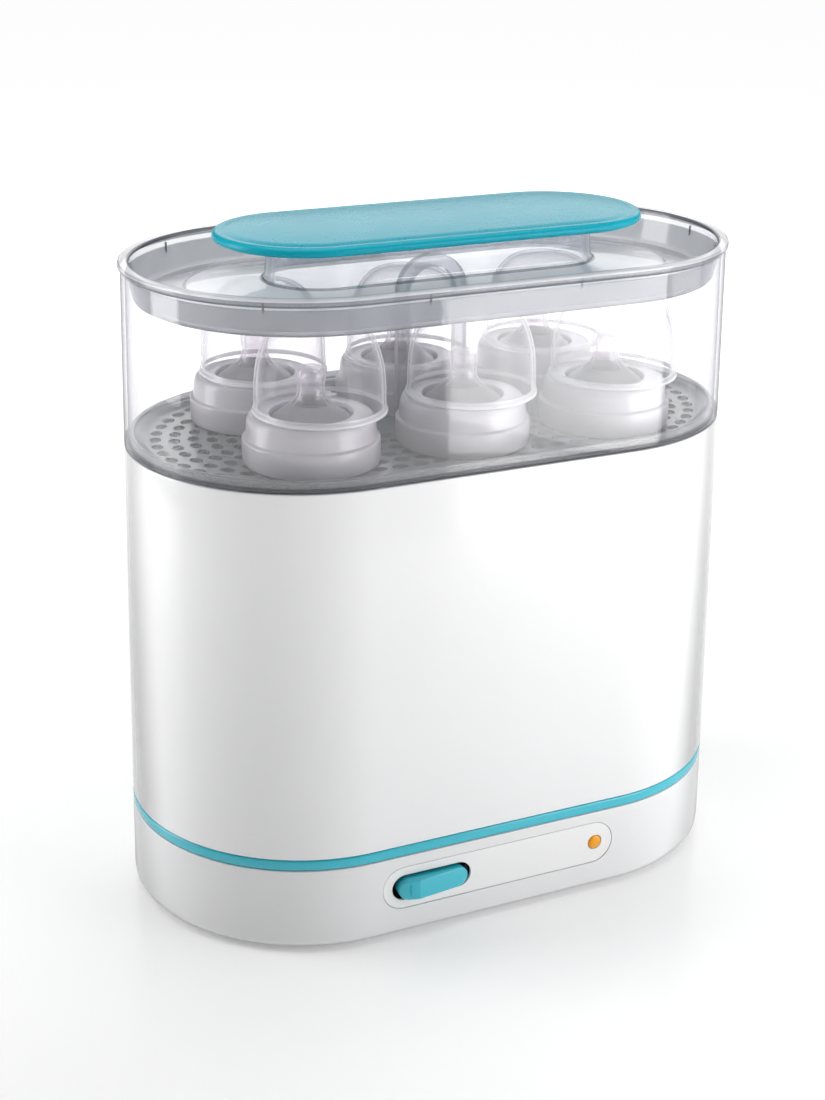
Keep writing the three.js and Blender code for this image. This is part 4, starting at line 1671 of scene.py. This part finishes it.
@dataclass
class BottleTops(Assembly):
    """Six bottle tops: screw rings, teats and loose dome caps."""

    body: str = "tray"
    dome_shift: float = 4.2
    ring: tuple[Corner, ...] = (
        Corner(28.6, 222.1, 0.3),
        Corner(30.1, 222.1, 0.8),
        Corner(30.5, 224.5, 1.0),
        Corner(30.5, 233.3, 0.9),
        Corner(28.9, 233.9, 0.5),
        Corner(28.3, 241.0, 2.5),
        Corner(27.0, 243.6, 1.6),
        Corner(18.4, 244.0, 0.8),
        Corner(17.8, 242.0, 0.4),
        Corner(26.3, 241.6, 1.0),
        Corner(26.3, 233.3, 0.8),
        Corner(28.6, 232.6, 0.8),
    )
    teat: tuple[Corner, ...] = (
        Corner(0, 264.2),
        Corner(2.2, 264.2, 0.4),
        Corner(2.6, 264.5, 0.5),
        Corner(6.0, 264.3, 2.6),
        Corner(6.6, 260.0, 3.0),
        Corner(5.8, 255.0, 3.0),
        Corner(6.6, 251.0, 3.0),
        Corner(11.2, 246.2, 3.0, zone=1),
        Corner(17.0, 242.4, 1.6, zone=1),
        Corner(17.2, 241.4, 0.3, zone=1),
        Corner(24, 241.4, 0.4, zone=1),
        Corner(24, 239.6, 0.4, zone=1),
        Corner(16.0, 239.6, 1.6, zone=1),
        Corner(10.0, 244.8, 3.0),
        Corner(5.2, 250.2, 3.0),
        Corner(4.4, 255.0, 3.0),
        Corner(5.0, 260.0, 2.6),
        Corner(4.0, 262.8, 1.6),
        Corner(0, 262.8),
    )
    dome: tuple[Corner, ...] = (
        # Zone 1 faces at the foot carry the painted highlight.
        Corner(29.8, 244.3, 0.3, zone=1),
        Corner(29.8, 245.4, 0.5, zone=1),
        Corner(29.0, 246.2, 0.5),
        Corner(28.9, 258.0, 6.0),
        Corner(27.6, 268.0, 5.0),
        Corner(23.4, 278.5, 5.0),
        Corner(17.0, 285.4, 5.0),
        Corner(8.0, 287.0, 4.0),
        Corner(0, 287.0),
        Corner(0, 285.8),
        Corner(7.6, 285.8, 4.0),
        Corner(16.2, 284.2, 5.0),
        Corner(22.2, 278.0, 5.0),
        Corner(26.4, 267.8, 5.0),
        Corner(27.7, 258.0, 6.0),
        Corner(27.8, 246.2, 0.6, zone=1),
        Corner(28.5, 244.3, 0.3, zone=1),
    )

    def build(self) -> None:
        """Makes and dresses the six sets."""
        for index in range(1, 7):
            low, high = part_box(f"bottle_ring_{index}")
            middle = (low + high) / 2 / MM
            spot = (middle.x, middle.y)
            ring = turned(f"screw_ring_{index}", self.ring, spot, self.palette[Finish.RING_MILK], 72)
            self.enter(ring, "milky", f"bottle_ring_{index}")
            soft = [self.palette[Finish.SILICONE], self.palette[Finish.SILICONE_SKIRT]]
            nipple = turned(f"soft_teat_{index}", self.teat, spot, soft, 48, 5)
            self.enter(nipple, "silicone", f"teat_{index}")
            over = (middle.x + self.dome_shift, middle.y)
            skins = [self.palette[Finish.CLEAR_DOME], self.palette[Finish.DOME_RIM_HIGHLIGHT]]
            dome = turned(f"dome_cup_{index}", self.dome, over, skins, 64, 5)
            self.enter(dome, "clear", f"dome_cap_{index}")


@dataclass
class Lid(Assembly):
    """Clear lid with its folded rim, well and pedestal, and the handle plate."""

    body: str = "lid"
    section: tuple[Corner, ...] = (
        Corner(2, 309.9, 0, 56, 4),
        Corner(20.6, 309.9, 1.4, 56, 4),
        Corner(22.1, 295.6, 1.0, 56, 4),
        Corner(24.4, 292.9, 1.6, 56, 2),
        Corner(50, 290.6, 0.6, zone=2),
        Corner(51.4, 289.7, 0.6, zone=2),
        # Zone 1 faces take the well wall's painted shade.
        Corner(69.8, 287, 1.6, zone=1),
        Corner(73.4, 287.4, 3.0, zone=1),
        Corner(75.9, 299.4, 0.6, zone=1),
        Corner(76.55, 299.4, 0.6),
        # Zone 3 faces are painted shade: the dark lines at the lid's lower edge and along its lip.
        Corner(78.0, 223.0, 0.2, zone=3),
        Corner(78.0, 222.3, 0.2, zone=3),
        Corner(80.0, 222.3, 0.3, zone=3),
        Corner(80.0, 222.9, 0.2),
        Corner(78.6, 301.3, 0.3, zone=3),
        Corner(79.8, 302.3, 0.5, zone=1),
        Corner(79.6, 304.6, 1.8, zone=2),
        Corner(75.0, 304.6, 1.6, zone=3),
        Corner(74.5, 302.8, 0.4, zone=2),
        Corner(72.1, 289.4, 2.4, zone=2),
        Corner(69.0, 289, 1.6, zone=2),
        Corner(51.6, 291.8, 0.6, zone=2),
        Corner(50, 292.6, 0.6, zone=2),
        Corner(25.4, 294.5, 0.6, 56, 1),
        Corner(23.9, 296.2, 1.2, 56, 4),
        Corner(22.8, 310.6, 0.3, 56, 1),
        Corner(22.6, 311.9, 0.8, 56, 4),
        Corner(2, 311.9, 0, 56, 4),
    )
    plate: tuple[Corner, ...] = (
        Corner(2, 312.2, 0, 61.9),
        Corner(39.4, 312.2, 1.2, 61.9),
        Corner(41.4, 313.4, 1.2, 61.9),
        Corner(41.2, 315.6, 1.3, 61.9),
        Corner(39.4, 316.9, 1.2, 61.9),
        Corner(37.4, 316.5, 0.8, 61.9),
        Corner(34, 317.3, 3.0, 61.9),
        Corner(20, 318.4, 9, 61.9),
        Corner(2, 318.9, 0, 61.9),
    )

    def build(self) -> None:
        """Makes and dresses the shell, its nibs and the handle plate."""
        zones = (
            Finish.CLEAR_WALL, Finish.CLEAR_WELL_SHADED, Finish.CLEAR_FLOOR, Finish.CLEAR_EDGE_SHADED,
            Finish.CLEAR_STEP,
        )
        skins = [self.palette[finish] for finish in zones]
        shell = swept_oval("lid_wall", self.section, skins, capped=True, steps=72, soft=5)
        self.enter(shell, "clear", "lid_shell")
        self._nibs()
        top = swept_oval(
            "handle_top", self.plate, self.palette[Finish.TEAL_SATIN], capped=True, steps=64, soft=6
        )
        self.enter(top, "teal", "lid_handle")

    def _nibs(self) -> None:
        """Small upright stacking nibs on the well wall, just under the rim."""
        tree = GrowthTree("well_nibs")
        path = oval_path(
            tree, tree.size("Half straight", 65 * MM), tree.size("Radius", 73.9 * MM),
            tree.size("Level", 299.6 * MM),
        )
        along = tree.node(
            "GeometryNodeCurveToPoints",
            {"mode": "COUNT"},
            {"Curve": path, "Count": tree.size("Count", 10, "NodeSocketInt")},
        )
        stem = tree.node(
            "GeometryNodeMeshCylinder",
            {},
            {
                "Vertices": tree.size("Nib sides", 10, "NodeSocketInt"),
                "Radius": tree.size("Nib radius", 0.5 * MM),
                "Depth": tree.size("Nib length", 4.8 * MM),
            },
        )
        placed = tree.node(
            "GeometryNodeInstanceOnPoints",
            {},
            {
                "Points": along.outputs["Points"],
                "Instance": stem.outputs[0],
            },
        )
        nibs = tree.grow("well_nibs", placed.outputs[0], self.palette[Finish.CLEAR_WELL_SHADED])
        self.enter(nibs, "clear")


# ---------------------------------------------------------------------------------------
# Studio
# ---------------------------------------------------------------------------------------


@dataclass(frozen=True)
class Softbox:
    """Rectangular studio light aimed at the appliance."""

    name: str
    place: tuple[float, float, float]
    size: tuple[float, float]
    power: float

    def hang(self, target: Vector) -> None:
        """Makes the light.

        Args:
            target: point that it faces.
        """
        data = bpy.data.lights.new(self.name, "AREA")
        data.shape = "RECTANGLE"
        data.size, data.size_y = self.size
        data.energy = self.power
        lamp = bpy.data.objects.new(self.name, data)
        lamp.location = self.place
        lamp.rotation_euler = (Vector(self.place) - target).to_track_quat("Z", "Y").to_euler()
        bpy.context.scene.collection.objects.link(lamp)


@dataclass
class Studio:
    """Floor, lights, surroundings and camera."""

    palette: Palette
    lights: tuple[Softbox, ...] = (
        Softbox("front_right_panel", (0.455, -0.625, 0.30), (0.42, 0.6), 3.2),
        Softbox("right_panel", (0.75, -0.30, 0.35), (0.4, 0.8), 1.3),
        Softbox("left_panel", (-0.85, -0.25, 0.42), (0.95, 0.8), 0.15),
        Softbox("left_side_panel", (-0.80, 0.35, 0.42), (0.4, 0.8), 4.2),
        Softbox("back_panel", (0.88, 1.53, 0.93), (1.75, 0.8), 7.5),
        Softbox("top_panel", (0.0, 0.1, 1.5), (1.4, 1.0), 11.0),
    )
    eye: tuple[float, float, float] = (-0.38183, -0.78008, 0.49573)
    view: tuple[float, float, float] = (0.402409, 0.839554, -0.364988)
    roll: float = 0.69
    lens: float = 63.27
    surround: float = 0.08

    def build(self) -> None:
        """Sets up everything that isn't the appliance."""
        scene = bpy.context.scene
        scene.view_settings.view_transform = "Standard"
        scene.cycles.transparent_max_bounces = 48
        self._floor()
        self._world()
        target = Vector((0, 0, 0.16))
        for light in self.lights:
            light.hang(target)
        self._camera()

    def _floor(self) -> None:
        """Wide flat pale floor."""
        mesh = bmesh.new()
        for x, y in ((-30, -30), (30, -30), (30, 30), (-30, 30)):
            mesh.verts.new((x, y, 0))
        mesh.faces.new(mesh.verts[:])
        floor = MeshMaker.finish("floor", mesh, FloorFinish("pale_floor").material())

    def _world(self) -> None:
        """Even pale surroundings."""
        world = bpy.data.worlds.new("surroundings")
        bpy.context.scene.world = world
        world.use_nodes = True
        back = world.node_tree.nodes["Background"]
        back.inputs["Color"].default_value = (1.0, 1.0, 1.0, 1.0)
        back.inputs["Strength"].default_value = self.surround

    def _camera(self) -> None:
        """Camera at the front left, a little above the rim."""
        data = bpy.data.cameras.new("camera")
        data.sensor_fit = "VERTICAL"
        data.sensor_height = 36.0
        data.lens = self.lens
        camera = bpy.data.objects.new("camera", data)
        camera.location = self.eye
        aim = Vector(self.view).to_track_quat("-Z", "Y")
        spin = Matrix.Rotation(math.radians(self.roll), 4, "Z")
        camera.matrix_world = (
            Matrix.Translation(self.eye) @ aim.to_matrix().to_4x4() @ spin
        )
        bpy.context.scene.collection.objects.link(camera)
        bpy.context.scene.camera = camera


def main() -> None:
    """Builds the looks in order: base, baskets, bottle tops, lid, studio."""
    palette = Palette()
    for kind in (Base, LargeBasket, SmallBasket, BottleTops, Lid):
        kind(palette).build()
    Studio(palette).build()


if __name__ == "__main__":
    main()
